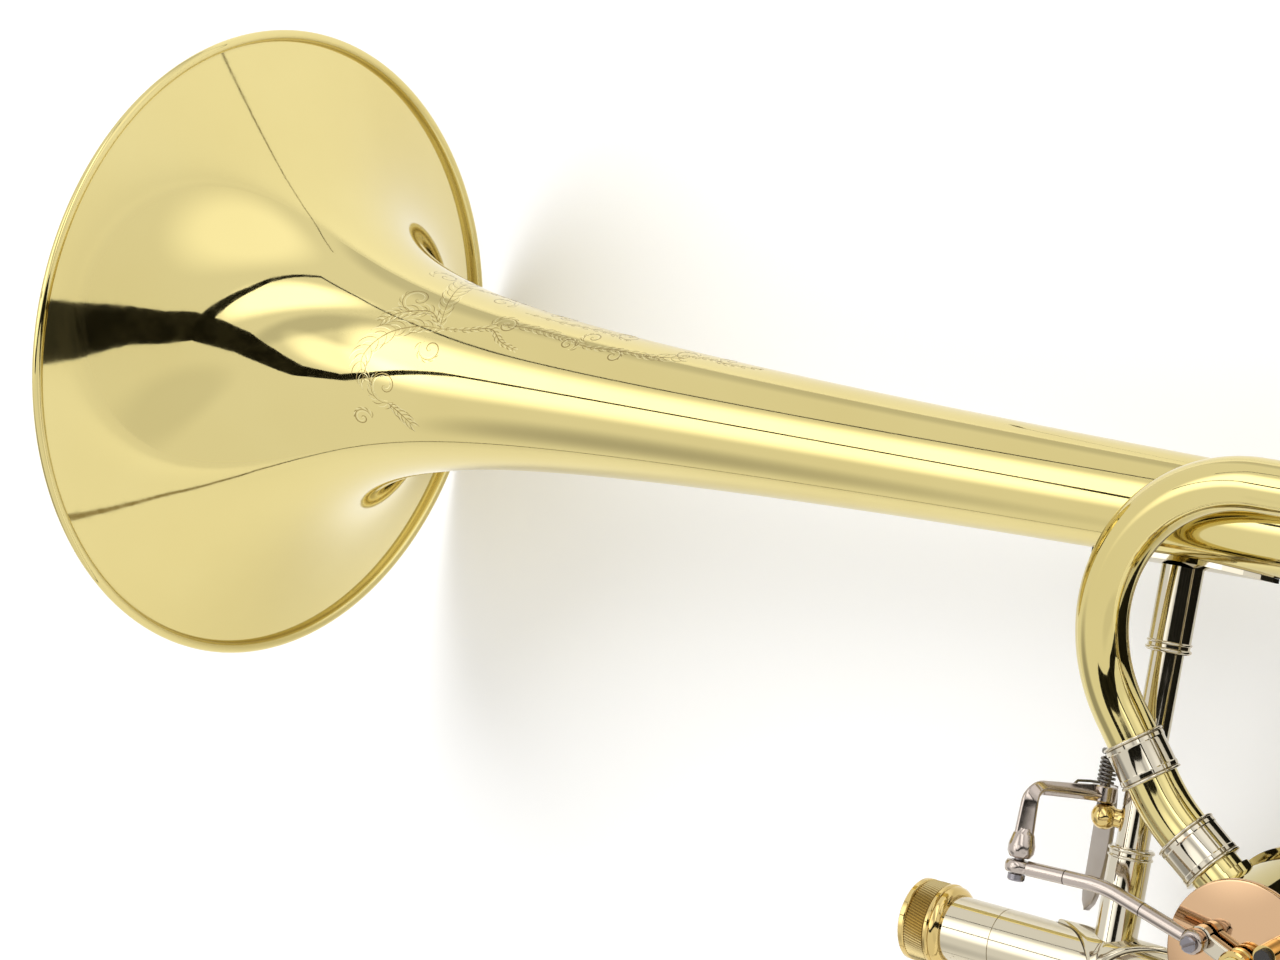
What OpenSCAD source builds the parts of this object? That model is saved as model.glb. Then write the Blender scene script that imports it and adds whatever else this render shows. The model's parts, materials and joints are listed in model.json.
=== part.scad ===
// Trombone bell section with an F attachment.
// Design axes: X runs along the bell from the rim to the tail, Y from the receiver up to the bell,
// Z away from the player. lay() turns the finished part to the way it lies on a table, with its
// origin where the receiver's bore starts.

/* [Bell] */
// Diameter of the bell's rim
bell_d = 216; // [200:1:245]
// Length of the bell from its rim to its tail
bell_l = 445; // [430:1:452]
// Radius that the stem tends to
stem_r = 12; // [11:0.1:13.5]
// Height of the throat's slow taper
throat_r = 27.6; // [22:0.2:32]
// Length over which the throat narrows
throat_l = 160; // [130:1:180]
// Length over which the flare opens
flare_l = 27.5; // [22:0.5:34]
// Thickness of the bell's sheet
bell_wall = 0.8; // [0.6:0.1:1.2]
// Diameter of the rolled rim
rim_d = 3.4; // [2.6:0.1:4.2]

/* [Frame] */
// Distance between the bell's axis and the receiver's axis
spread = 130.2; // [124:0.2:150]
// Where the front brace stands along the bell
brace_x = 358; // [340:1:362]
// Where the tail brace stands along the bell
tail_brace_x = 475; // [468:1:495]
// Diameter of the brace's middle tube
brace_d = 9.3; // [8:0.1:10]
// Wall of the brace's sleeves and flanges
brace_wall = 1.3; // [0.8:0.1:1.5]

/* [Receiver] */
// Outer diameter of the receiver
receiver_d = 19.2; // [18:0.1:22]
// Bore that takes the hand slide
receiver_bore_d = 15.8; // [14:0.1:17]
// Depth of that bore
receiver_bore_l = 30; // [24:1:40]
// Where the lock nut's open face lies along the bell
nut_x = 295; // [280:1:297]
// Length of the lock nut
nut_l = 13; // [12:0.5:20]
// Outer diameter of the lock nut's knurled band
nut_d = 24; // [23.6:0.1:29]

/* [Valve] */
// Where the valve stands along the bell
valve_x = 407; // [400:1:418]
// Height of the valve's axis above the receiver, in the loop's plane
valve_rise = 20.8; // [18:0.2:24]
// Tilt of the loop's plane about the receiver
wrap_tilt = 13.5; // [8:0.5:18]
// Diameter of the rotor
rotor_d = 38; // [35:0.5:38.5]
// Height of the valve casing
casing_h = 34; // [32:0.5:38]
// Wall of the valve casing
casing_wall = 2; // [1.6:0.1:2.4]
// Diameter of the cap disc
cap_d = 44.6; // [43:0.2:48]
// Angle of the ports to the receiver
port_angle = 50; // [46:1:52]
// Outer diameter of the valve's knuckles
knuckle_d = 15.2; // [14.6:0.1:15.4]
// Reach of the stop arm from the rotor's axis
stop_r = 12; // [11:0.1:12.5]

/* [F loop] */
// Outer diameter of the loop's tube
loop_d = 14.6; // [13:0.1:15]
// Radius of the front crook
crook_r = 44.5; // [40:0.5:46]
// Where the front crook's centre lies along the bell
crook_x = 393.2; // [388:0.2:398]
// Height of the crook's centre above the receiver, in the loop's plane
crook_rise = 99; // [97:0.5:104]
// Radius of the loop slide's bow
loop_bow_r = 36; // [34:0.5:38]
// Where the loop slide's sleeves end
loop_sleeve_end = 515; // [512:1:520]

/* [Main slide] */
// Outer diameter of the tuning slide's tube
slide_d = 21; // [19:0.1:22]
// Where the outer sleeves end
sleeve_end = 510; // [506:1:516]
// Where the bow starts
bow_x = 520; // [518:1:528]
// Wall of the slide tubes and their sleeves
tube_wall = 0.9; // [0.7:0.1:1.2]

/* [Lever] */
// Where the lever's hinge lies along the bell
hinge_x = 348; // [346:0.5:349]
// Height of the lever's hinge in front of the receiver
hinge_z = 3; // [2:0.5:4]
// Reach of the lever from its hinge to the link rod
lever_reach = 28; // [27:0.5:29]
// Lean of the lever at rest
lever_lean = 15.5; // [14:0.5:17]
// Diameter of the link rod
rod_d = 4.1; // [3.6:0.1:4.4]

/* [Fits] */
// Radial clearance of everything that slides or turns
run_gap = 0.05; // [0.03:0.01:0.08]
// Seam left between soldered pieces
seam = 0.03; // [0.02:0.01:0.05]

/* [Hidden] */
$fn = 96;

// Finishes
lacquer = "#d6c07a";
nickel = "#c8bdaa";
copper = "#cd9a78";
steel = "#5a5650";

// The bell's outer radius: a stem, a slow cone and the flare that makes up the rest of the rim
flare_r = bell_d / 2 - stem_r - throat_r;
function bell_r(x) = stem_r + throat_r * exp(-x / throat_l) + flare_r * exp(-x / flare_l);
function bell_slope(x) = -throat_r / throat_l * exp(-x / throat_l) - flare_r / flare_l * exp(-x / flare_l);
function bell_in_r(x) = bell_r(x) - bell_wall * sqrt(1 + pow(bell_slope(x), 2));
bell_steps = 56;
rim_r = rim_d / 2;
rim_ring_r = bell_d / 2 - rim_r;

// The loop's plane holds the receiver's axis; lengths in it are [along the bell, rise]
receiver_r = receiver_d / 2;
receiver_start = nut_x + 2;
casing_r = rotor_d / 2 + run_gap + casing_wall;
knuckle_r = knuckle_d / 2;
loop_r = loop_d / 2;
slide_r = slide_d / 2;
elbow_r = 12;
exit_elbow_r = 16;
in_meet = valve_rise / sin(port_angle);
out_meet = valve_rise / cos(port_angle);
in_port = in_meet - elbow_r * tan(port_angle / 2);
out_port = out_meet - exit_elbow_r * tan((90 - port_angle) / 2);
side_port = casing_r + 0.8;
in_elbow_x = valve_x - in_meet * cos(port_angle) - elbow_r * tan(port_angle / 2);
out_elbow_x = valve_x + out_meet * sin(port_angle) + exit_elbow_r * tan((90 - port_angle) / 2);

// Gooseneck: straight out of the valve, one turn, then straight into the crook
neck_angle = 90 + port_angle;
neck_turn = 45;
neck_r = 50;
neck_p = [valve_x + neck_turn * cos(neck_angle), valve_rise + neck_turn * sin(neck_angle)];
neck_to_crook = [crook_x, crook_rise] - neck_p;
neck_run = sqrt(pow(norm(neck_to_crook), 2) - pow(crook_r, 2));
crook_angle = atan2(neck_to_crook[1], neck_to_crook[0]) + asin(crook_r / norm(neck_to_crook));
neck_bend = neck_angle - crook_angle;
neck_cut = neck_r * tan(neck_bend / 2);
ferrule_l = 12.5;
ferrule_wall = 0.9;
high_ferrule_at = neck_cut + 2.5;
neck_split = high_ferrule_at + ferrule_l / 2;

// Loop slide
loop_top = crook_rise + crook_r;
loop_low = loop_top - 2 * loop_bow_r;
sleeve_start = 431;
return_r = 30;
return_meet = (loop_low - valve_rise) / sin(port_angle);
return_cut = return_r * tan(port_angle / 2);
return_x = valve_x + return_meet * cos(port_angle);
low_sleeve_start = return_x + return_cut + 2;
loop_bow_x = loop_sleeve_end + 12;

// Main slide
main_sleeve_start = bell_l + 1;
tail_ferrule_l = 16;

// Valve heights along its axis, from the middle of its ports
casing_top = casing_h / 2;
disc_h = 1.7;
disc_top = casing_top + disc_h + seam;
back_cap_h = 10;
back_cap_r = casing_r + 0.4;
spindle_r = 3;
arm_z = disc_top + 0.9;
arm_h = 3;
eye_z = arm_z + arm_h + 0.3;
eye_h = 4.6;
stop_angle = 156;
lobe_angle = 0;

// Lever and link rod
pin_r = 1.5;
lever_y = -82;
eye_y = -104;
link_bend = [366, -103.6, 28];
ball_r = 2.5;
rod_end = [
  valve_x + stop_r * cos(stop_angle),
  valve_rise + stop_r * sin(stop_angle),
  eye_z + eye_h / 2
];
lever_tip = [hinge_x - lever_reach * sin(lever_lean), eye_y, hinge_z + lever_reach * cos(lever_lean)];

// Rest on a table: it lies on the rim and on the slide's bow, balanced about the line between them
wrap_up = [0, cos(wrap_tilt), sin(wrap_tilt)];
wrap_out = [0, -sin(wrap_tilt), cos(wrap_tilt)];
// Centre of mass in the design axes
balance = [333, -55, 3.6];
function unit(v) = v / norm(v);
function wrap_point(p) = [p[0], -spread, 0] + p[1] * wrap_up + p[2] * wrap_out;
function rim_touch(n) = [rim_r, 0, 0] - rim_ring_r * unit([0, n[1], n[2]]) - rim_r * n;
function bow_touch(n) = [bow_x, -spread / 2, 0] - spread / 2 * unit([n[0], n[1], 0]) - slide_r * n;
function across_line(v, line) = unit(v - (v * line) * line);
function rolled(n, p, q) = across_line(n + 0.15 * (n - across_line(balance - p, unit(q - p))), unit(q - p));
function settled(n, turns) = turns == 0 ? n : settled(rolled(n, rim_touch(n), bow_touch(n)), turns - 1);
up = settled(unit([-0.14, 0, 1]), 40);
along = unit([1, 0, 0] - up[0] * up);
across = cross(up, along);
mouth = [receiver_start, -spread, 0];

module lay() {
  turn = [
    [along[0], along[1], along[2], 0],
    [across[0], across[1], across[2], 0],
    [up[0], up[1], up[2], 0],
    [0, 0, 0, 1]
  ];
  multmatrix(turn) translate(-mouth) children();
}

// Places
module on_bell(x) translate([x, 0, 0]) rotate([0, 90, 0]) children();
module on_receiver(x) translate([x, -spread, 0]) rotate([0, 90, 0]) children();
module in_wrap() translate([0, -spread, 0]) rotate([wrap_tilt, 0, 0]) children();
module in_valve() in_wrap() translate([valve_x, valve_rise, 0]) children();
module port(angle, at) rotate([0, 0, angle]) translate([at, 0, 0]) rotate([0, 90, 0]) children();
module wrap_run(x, y, angle)
  in_wrap() translate([x, y, 0]) rotate([0, 0, angle]) rotate([0, 90, 0]) children();

// Shapes
module tube(l, r, wall = tube_wall) {
  difference() {
    cylinder(h = l, r = r);
    translate([0, 0, -1]) cylinder(h = l + 2, r = r - wall);
  }
}
module bend(r, turn, tube_r, wall = tube_wall) {
  rotate_extrude(angle = turn) translate([r, 0]) difference() {
    circle(r = tube_r);
    circle(r = tube_r - wall);
  }
}
module ferrule(l, r, wall = ferrule_wall) {
  bead = 0.55;
  rotate_extrude() {
    translate([r, 0]) square([wall, l]);
    for (y = [bead, l - bead]) translate([r + wall, y]) circle(r = bead, $fn = 32);
  }
}
module stepped(l, split, r1, r2, wall = ferrule_wall) {
  out = max(r1, r2) + wall;
  rotate_extrude() {
    polygon([
      [r1, 0], [r1 + wall, 0], [r1 + wall, split - 1.5], [out, split], [out, l - 0.6], [out - 0.5, l],
      [r2, l], [r2, split], [r1, split]
    ]);
  }
}
module oval(l, w, h) linear_extrude(h) polygon([for (a = [0:15:345]) [l / 2 * cos(a), w / 2 * sin(a)]]);

// Bell
module bell_profile() {
  xs = [for (i = [0:bell_steps]) rim_d + (bell_l - rim_d) * pow(i / bell_steps, 1.9)];
  out = [for (i = [bell_steps:-1:0]) [bell_r(xs[i]), xs[i]]];
  bead = [for (a = [60:-24:-228]) [rim_ring_r + rim_r * cos(a), rim_r + rim_r * sin(a)]];
  inside = [for (i = [0:bell_steps]) [bell_in_r(xs[i]), xs[i]]];
  polygon(concat(out, bead, inside));
}
module bell_skin(x0, x1, near, far) {
  xs = [for (i = [0:8]) x0 + (x1 - x0) * i / 8];
  on_bell(0) rotate_extrude() polygon(concat(
    [for (x = xs) [bell_r(x) + near, x]],
    [for (i = [8:-1:0]) [bell_r(xs[i]) + far, xs[i]]]
  ));
}
module bell() color(lacquer) lay() on_bell(0) rotate_extrude($fn = 180) bell_profile();
module bell_tail_ferrule() {
  held = 6.6;
  wide_r = slide_r + run_gap + tube_wall + seam;
  color(nickel) lay() on_bell(bell_l + tail_ferrule_l - held) mirror([0, 0, 1])
    stepped(tail_ferrule_l, tail_ferrule_l - held - seam, wide_r, bell_r(bell_l - held) + seam);
}
module bell_sleeve() {
  color(lacquer) lay() on_bell(main_sleeve_start)
    tube(sleeve_end - main_sleeve_start, slide_r + run_gap + tube_wall);
}

// Receiver
module receiver() {
  color(nickel) lay() on_receiver(0) difference() {
    union() {
      translate([0, 0, receiver_start]) cylinder(h = in_elbow_x - receiver_start - seam, r = receiver_r);
      translate([0, 0, nut_x + nut_l / 2]) cylinder(h = 2.2, r = receiver_r + 1.1);
    }
    cylinder(h = in_elbow_x, r = knuckle_r - tube_wall);
    translate([0, 0, nut_x]) cylinder(h = receiver_start - nut_x + receiver_bore_l, r = receiver_bore_d / 2);
  }
}
module lock_nut() {
  inside = receiver_r + run_gap;
  cavity = receiver_r + 1.1 + 0.3;
  rear = nut_l / 2 + 2.2 + 0.2;
  out = nut_d / 2;
  color("#cdae5c") lay() on_receiver(nut_x) rotate_extrude() polygon([
    [cavity, 0], [out - 0.6, 0], [out, 0.6], [out, 2.4], [out - 0.4, 2.8], [out - 0.4, nut_l - 5.2],
    [out, nut_l - 4.6], [out + 0.3, nut_l - 3.6], [out - 1, nut_l], [inside, nut_l], [inside, rear],
    [cavity, rear]
  ]);
}

// Front brace
module brace_axis(y) translate([brace_x, y, 0]) rotate([-90, 0, 0]) children();
module brace_receiver_flange() {
  color(nickel) lay() intersection() {
    on_receiver(brace_x - 20) tube(40, receiver_r + seam + brace_wall, brace_wall);
    translate([brace_x, -spread, 0]) rotate([-90, 0, 0]) oval(31, 15, 20);
  }
}
sleeve_r = brace_d / 2 + seam + brace_wall;
low_bead_y = -95;
high_bead_y = -40;
module brace_lower_sleeve() {
  color(nickel) lay() difference() {
    union() {
      brace_axis(-spread + receiver_r - 2) cylinder(h = low_bead_y + spread - receiver_r + 2, r = sleeve_r);
      brace_axis(low_bead_y - 1.6) rotate_extrude() translate([sleeve_r, 0.8]) circle(r = 0.7, $fn = 32);
    }
    brace_axis(-spread) cylinder(h = spread, r = brace_d / 2 + seam);
    on_receiver(brace_x - 20) cylinder(h = 40, r = receiver_r + 2 * seam + brace_wall);
  }
}
module brace_tube() {
  color(nickel) lay() brace_axis(low_bead_y - 12) tube(high_bead_y - low_bead_y + 20, brace_d / 2, 1);
}
module brace_upper_sleeve() {
  color(nickel) lay() difference() {
    union() {
      brace_axis(high_bead_y) cylinder(h = -high_bead_y - 12, r = sleeve_r);
      brace_axis(high_bead_y + 0.8) rotate_extrude() translate([sleeve_r, 0]) circle(r = 0.7, $fn = 32);
    }
    brace_axis(high_bead_y - 1) cylinder(h = 40, r = brace_d / 2 + seam);
    bell_skin(brace_x - 32, brace_x + 32, -14, 3 * seam + brace_wall);
  }
}
module brace_bell_flange() {
  color(nickel) lay() intersection() {
    bell_skin(brace_x - 32, brace_x + 32, 2 * seam, 2 * seam + brace_wall);
    translate([brace_x, 0, 0]) rotate([90, 0, 0]) oval(58, 14, 22);
  }
}

// Tail brace
module tail_brace_tube() {
  reach = slide_r + run_gap + tube_wall + seam;
  color(nickel) lay() difference() {
    translate([tail_brace_x, -spread, 0]) rotate([-90, 0, 0]) cylinder(h = spread, r = brace_d / 2);
    for (y = [0, -spread]) translate([tail_brace_x - 9, y, 0]) rotate([0, 90, 0])
      cylinder(h = 18, r = reach + brace_wall + seam);
  }
}
module tail_brace_flanges() {
  reach = slide_r + run_gap + tube_wall + seam;
  color(nickel) lay() for (side = [0, 1]) intersection() {
    translate([tail_brace_x - 16, -spread * side, 0]) rotate([0, 90, 0])
      tube(32, reach + brace_wall, brace_wall);
    translate([tail_brace_x, -spread * side, 0]) rotate([side == 0 ? 90 : -90, 0, 0]) oval(26, 15, 20);
  }
}

// Valve
module valve_casing() {
  color(lacquer) lay() in_valve() difference() {
    union() {
      translate([0, 0, -casing_top]) cylinder(h = casing_h, r = casing_r);
      port(180 + port_angle, 12) cylinder(h = in_port - 12, r = knuckle_r + 1.1);
      port(port_angle - 90, 12) cylinder(h = out_port - 12, r = knuckle_r + 1.1);
      for (a = [port_angle, neck_angle]) port(a, 12) cylinder(h = side_port - 12, r = knuckle_r + 1.1);
    }
    translate([0, 0, -casing_top - 1]) cylinder(h = casing_h + 2, r = rotor_d / 2 + run_gap);
    for (a = [port_angle, neck_angle, 180 + port_angle, port_angle - 90])
      port(a, 10) cylinder(h = 40, r = knuckle_r - tube_wall);
  }
}
module casing_back_ring() {
  color(nickel) lay() in_valve() translate([0, 0, -casing_top]) difference() {
    cylinder(h = 2.6, r = casing_r + 1.9);
    translate([0, 0, -1]) cylinder(h = 5, r = casing_r + seam);
  }
}
module bearing(z) {
  color(lacquer) lay() in_valve() translate([0, 0, z]) difference() {
    cylinder(h = 2.4, r = rotor_d / 2 + run_gap - seam);
    translate([0, 0, -1]) cylinder(h = 5, r = spindle_r + run_gap);
  }
}
module top_bearing() bearing(casing_top - 2.4);
module back_bearing() bearing(-casing_top);
module valve_cap_disc() {
  color(copper) lay() in_valve() translate([0, 0, casing_top + seam]) difference() {
    cylinder(h = disc_h, r = cap_d / 2);
    translate([0, 0, -1]) cylinder(h = disc_h + 2, r = spindle_r + 0.6);
  }
}
module valve_back_cap() {
  color(lacquer) lay() in_valve() translate([0, 0, -casing_top - seam]) mirror([0, 0, 1]) rotate_extrude()
    polygon([
      [0, back_cap_h], [0, back_cap_h - 1.6], [casing_r - 3, back_cap_h - 1.6], [casing_r - 3, 0],
      [back_cap_r, 0], [back_cap_r, back_cap_h - 1], [back_cap_r - 1, back_cap_h]
    ]);
}
bumper_at = [[31, 10.8], [239, 10.8]];
module bumper_posts() {
  color(lacquer) lay() in_valve() for (b = bumper_at)
    rotate([0, 0, b[0]]) translate([b[1], 0, disc_top + seam]) difference() {
      cylinder(h = 6.4, r = 3.3);
      translate([0, 0, 1.2]) cylinder(h = 9, r = 2.4);
    }
}
module stop_bumpers() {
  color("#2a2624") lay() in_valve() for (b = bumper_at) rotate([0, 0, b[0]])
    translate([b[1], 0, disc_top + 1.2 + 2 * seam]) cylinder(h = 6.6, r = 2.4 - seam);
}
module receiver_elbow() {
  color(lacquer) lay() in_wrap() translate([in_elbow_x, elbow_r, 0]) rotate([0, 0, -90])
    bend(elbow_r, port_angle, knuckle_r);
}
module exit_elbow() {
  color(lacquer) lay() in_wrap() {
    translate([out_elbow_x, exit_elbow_r, 0]) rotate([0, 0, -90 - (90 - port_angle)])
      bend(exit_elbow_r, 90 - port_angle, knuckle_r);
    translate([out_elbow_x, 0, 0]) rotate([0, 90, 0]) tube(10, knuckle_r);
  }
}
module exit_ferrule() {
  color(nickel) lay() on_receiver(out_elbow_x + 2)
    stepped(14, 7.2, knuckle_r + seam, slide_r + run_gap + tube_wall + seam);
}
module lower_sleeve() {
  color(lacquer) lay() on_receiver(out_elbow_x + 10.5)
    tube(sleeve_end - out_elbow_x - 10.5, slide_r + run_gap + tube_wall);
}

// F loop
module neck_ferrule_low() {
  color(nickel) lay() in_valve() port(neck_angle, neck_turn - neck_cut - ferrule_l)
    ferrule(ferrule_l, loop_r + seam, ferrule_wall + 0.4);
}
module gooseneck() {
  color(lacquer) lay() in_wrap() {
    translate([valve_x, valve_rise, 0]) port(neck_angle, side_port + seam)
      tube(neck_turn - neck_cut - side_port - seam, loop_r);
    translate([neck_p[0], neck_p[1], 0]) rotate([0, 0, neck_angle]) translate([-neck_cut, -neck_r, 0])
      rotate([0, 0, 90 - neck_bend]) bend(neck_r, neck_bend, loop_r);
    translate([neck_p[0], neck_p[1], 0]) port(crook_angle, neck_cut) tube(neck_split - neck_cut, loop_r);
  }
}
module neck_ferrule_high() {
  color(nickel) lay() wrap_run(neck_p[0], neck_p[1], crook_angle) translate([0, 0, high_ferrule_at])
    ferrule(ferrule_l, loop_r + seam);
}
module front_crook() {
  color(lacquer) lay() in_wrap() {
    translate([neck_p[0], neck_p[1], 0]) port(crook_angle, neck_split + seam)
      tube(neck_run - neck_split - 2 * seam, loop_r);
    translate([crook_x, crook_rise, 0]) rotate([0, 0, 90]) bend(crook_r, crook_angle, loop_r);
    translate([crook_x + seam, loop_top, 0]) rotate([0, 90, 0]) tube(sleeve_start + 8 - crook_x, loop_r);
  }
}
module loop_sleeve(start, rise) {
  l = loop_sleeve_end - start;
  r = loop_r + run_gap;
  lay() wrap_run(start, rise, 0) difference() {
    union() {
      cylinder(h = l, r = r + tube_wall);
      for (z = [0, l - 3]) translate([0, 0, z]) cylinder(h = 3, r = r + tube_wall + 0.7);
    }
    translate([0, 0, -1]) cylinder(h = l + 2, r = r);
  }
}
module loop_upper_sleeve() color(nickel) loop_sleeve(sleeve_start, loop_top);
module loop_lower_sleeve() color(nickel) loop_sleeve(low_sleeve_start, loop_low);
module return_neck() {
  color(lacquer) lay() in_wrap() {
    translate([valve_x, valve_rise, 0]) port(port_angle, side_port + seam)
      tube(return_meet - return_cut - side_port - seam, loop_r);
    translate([return_x + return_cut, loop_low - return_r, 0]) rotate([0, 0, 90])
      bend(return_r, port_angle, loop_r);
    translate([return_x + return_cut, loop_low, 0]) rotate([0, 90, 0]) tube(8, loop_r);
  }
}
module return_ferrule() {
  color(nickel) lay() in_valve() port(port_angle, side_port + 3) ferrule(ferrule_l, loop_r + seam);
}
stay_x = 462;
module loop_stay() {
  top = wrap_point([0, loop_top, 0]);
  reach = norm([top[1], top[2]]);
  low_r = slide_r + run_gap + tube_wall + seam;
  high_r = loop_r + run_gap + tube_wall + seam;
  color(nickel) lay() translate([stay_x, 0, 0]) rotate([atan2(-top[1], top[2]), 0, 0]) difference() {
    union() {
      cylinder(h = reach, r = 2.6);
      translate([0, 0, low_r - 3]) cylinder(h = 4.4, r = 6);
      translate([0, 0, reach - high_r - 1.4]) cylinder(h = 4, r = 5);
    }
    translate([-10, 0, 0]) rotate([0, 90, 0]) cylinder(h = 20, r = low_r);
    translate([-10, 0, reach]) rotate([0, 90, 0]) cylinder(h = 20, r = high_r);
  }
}
module loop_cross_stay() {
  r = loop_r + run_gap + tube_wall + seam;
  color(nickel) lay() in_wrap() translate([stay_x + 30, 0, 0]) difference() {
    translate([0, loop_low, 0]) rotate([-90, 0, 0]) {
      cylinder(h = 2 * loop_bow_r, r = 2.6);
      translate([0, 0, r - 2]) cylinder(h = 3.6, r = 5);
      translate([0, 0, 2 * loop_bow_r - r - 1.6]) cylinder(h = 3.6, r = 5);
    }
    for (y = [loop_low, loop_top]) translate([-10, y, 0]) rotate([0, 90, 0]) cylinder(h = 20, r = r);
  }
}

// Rotor: two passages, each joining a pair of ports
module rotor() {
  ring = rotor_d / 2;
  color(lacquer) lay() in_valve() difference() {
    union() {
      translate([0, 0, -casing_top + 2.7]) cylinder(h = casing_h - 5.4, r = ring);
      translate([0, 0, -casing_top - 3]) cylinder(h = casing_top + 3 + arm_z + arm_h + 2, r = spindle_r);
    }
    for (a = [port_angle + 45, port_angle + 225]) rotate([0, 0, a]) translate([ring * sqrt(2), 0, 0])
      rotate_extrude() translate([ring, 0]) circle(r = knuckle_r - tube_wall);
  }
}
module stop_arm() {
  color(nickel) lay() in_valve() translate([0, 0, arm_z]) difference() {
    union() {
      cylinder(h = arm_h + 1.6, r = 4.6);
      rotate([0, 0, stop_angle]) translate([0, -2.6, 0]) cube([stop_r, 5.2, arm_h]);
      rotate([0, 0, stop_angle]) translate([stop_r, 0, 0]) cylinder(h = arm_h, r = 3.4);
      rotate([0, 0, lobe_angle]) translate([0, -2.2, 0]) cube([13.4, 4.4, arm_h]);
      rotate([0, 0, 82]) translate([5.3, 0, 0]) cylinder(h = arm_h + 2.4, r = 1.8);
    }
    translate([0, 0, -1]) cylinder(h = 12, r = spindle_r + seam);
  }
}

// Thumb lever and link rod
module at_hinge() translate([hinge_x, 0, hinge_z]) rotate([0, -lever_lean, 0]) children();
module hinge_ball() {
  color(lacquer) lay() difference() {
    union() {
      translate([hinge_x, lever_y - 6, hinge_z]) sphere(r = 3.6);
      translate([hinge_x, lever_y - 6, hinge_z]) rotate([0, 107, 0]) cylinder(h = 8, r = 2);
    }
    translate([hinge_x, lever_y - 8, hinge_z]) rotate([-90, 0, 0]) cylinder(h = 9, r = pin_r + seam);
    brace_axis(-spread) cylinder(h = spread, r = sleeve_r + seam);
  }
}
module hinge_pin() {
  color(steel) lay() translate([hinge_x, lever_y - 7.8, hinge_z]) rotate([-90, 0, 0]) {
    cylinder(h = 18.8, r = pin_r);
    translate([0, 0, 18.8]) cylinder(h = 1.6, r = 2.6);
  }
}
module return_spring() {
  color(steel) lay() translate([hinge_x, lever_y + 2.6, hinge_z]) rotate([-90, 0, 0]) tube(8, 2.5, 0.85);
}
module thumb_lever() {
  color(nickel) lay() difference() {
    union() {
      translate([hinge_x, lever_y - 2.2, hinge_z]) rotate([-90, 0, 0]) cylinder(h = 4.6, r = 3.6);
      at_hinge() {
        translate([-2.2, lever_y - 2, 0]) cube([4.4, 4, lever_reach + 2.2]);
        translate([-2.2, lever_y - 14, lever_reach - 2.2]) cube([4.4, 14, 4.4]);
        translate([0, lever_y - 19.5, lever_reach]) rotate([-90, 0, 0]) cylinder(h = 7, r = 3.6);
      }
      translate([hinge_x, 0, hinge_z]) rotate([0, 205, 0]) {
        translate([-1.3, lever_y - 2, 0]) cube([2.6, 4, 20]);
        translate([-1.3, lever_y - 35, 12]) cube([2.2, 37, 9]);
      }
    }
    translate([hinge_x, lever_y - 6, hinge_z]) rotate([-90, 0, 0]) cylinder(h = 12, r = pin_r + run_gap);
  }
}
module lever_stud() {
  color(steel) lay() translate([lever_tip[0], 0, lever_tip[2]]) {
    translate([0, lever_y - 19.5 - seam, 0]) rotate([90, 0, 0]) cylinder(h = 5.2, r = 1.4);
    translate([0, eye_y, 0]) intersection() {
      sphere(r = ball_r);
      rotate([90, 0, 0]) translate([0, 0, -2]) cylinder(h = 4, r = ball_r + 1);
    }
    translate([0, lever_y - 24.4, 0]) rotate([90, 0, 0]) cylinder(h = 1.8, r = 2.4);
  }
}
module rod_between(a, b, r) {
  v = b - a;
  translate(a) rotate([0, acos(v[2] / norm(v)), atan2(v[1], v[0])]) cylinder(h = norm(v), r = r);
}
module link_rod() {
  tip = wrap_point(rod_end);
  r = rod_d / 2;
  color(nickel) lay() difference() {
    union() {
      rod_between(lever_tip, link_bend, r);
      translate(link_bend) sphere(r = r + 0.1);
      rod_between(link_bend, tip, r);
      translate(lever_tip) rotate([90, 0, 0]) translate([0, 0, -1.7]) cylinder(h = 3.4, r = 3.7);
      in_wrap() translate([rod_end[0], rod_end[1], eye_z]) cylinder(h = eye_h, r = 3.5);
    }
    translate(lever_tip) sphere(r = ball_r + 0.08);
    translate(lever_tip) rotate([90, 0, 0]) translate([0, 0, -4]) cylinder(h = 8, r = 1.95);
    in_wrap() translate([rod_end[0], rod_end[1], eye_z - 1]) cylinder(h = eye_h + 2, r = 1.6);
  }
}
module link_screw() {
  color(steel) lay() in_wrap() translate([rod_end[0], rod_end[1], eye_z]) {
    cylinder(h = eye_h + seam, r = 1.6 - seam);
    translate([0, 0, eye_h + seam]) cylinder(h = 1.7, r = 2.3);
  }
}

// Main tuning slide
leg_start = main_sleeve_start + 4;
module slide_upper_leg() color(lacquer) lay() on_bell(leg_start) tube(bow_x - leg_start - seam, slide_r);
module slide_lower_leg() color(lacquer) lay() on_receiver(leg_start) tube(bow_x - leg_start - seam, slide_r);
module slide_bow() {
  color(lacquer) lay() translate([bow_x, -spread / 2, 0]) rotate([0, 0, -90]) bend(spread / 2, 180, slide_r);
}
module slide_ferrules() {
  l = bow_x - sleeve_end - 1.5;
  color(nickel) lay() for (y = [0, -spread]) translate([bow_x - l, y, 0]) rotate([0, 90, 0])
    ferrule(l - seam, slide_r + seam);
}
module slide_brace() {
  brace_at = bow_x + 10;
  color(nickel) lay() difference() {
    translate([brace_at, -spread + 4, 0]) rotate([-90, 0, 0]) cylinder(h = spread - 8, r = 3.6);
    translate([bow_x, -spread / 2, 0]) rotate_extrude() translate([spread / 2, 0]) circle(r = slide_r + seam);
  }
}

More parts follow.
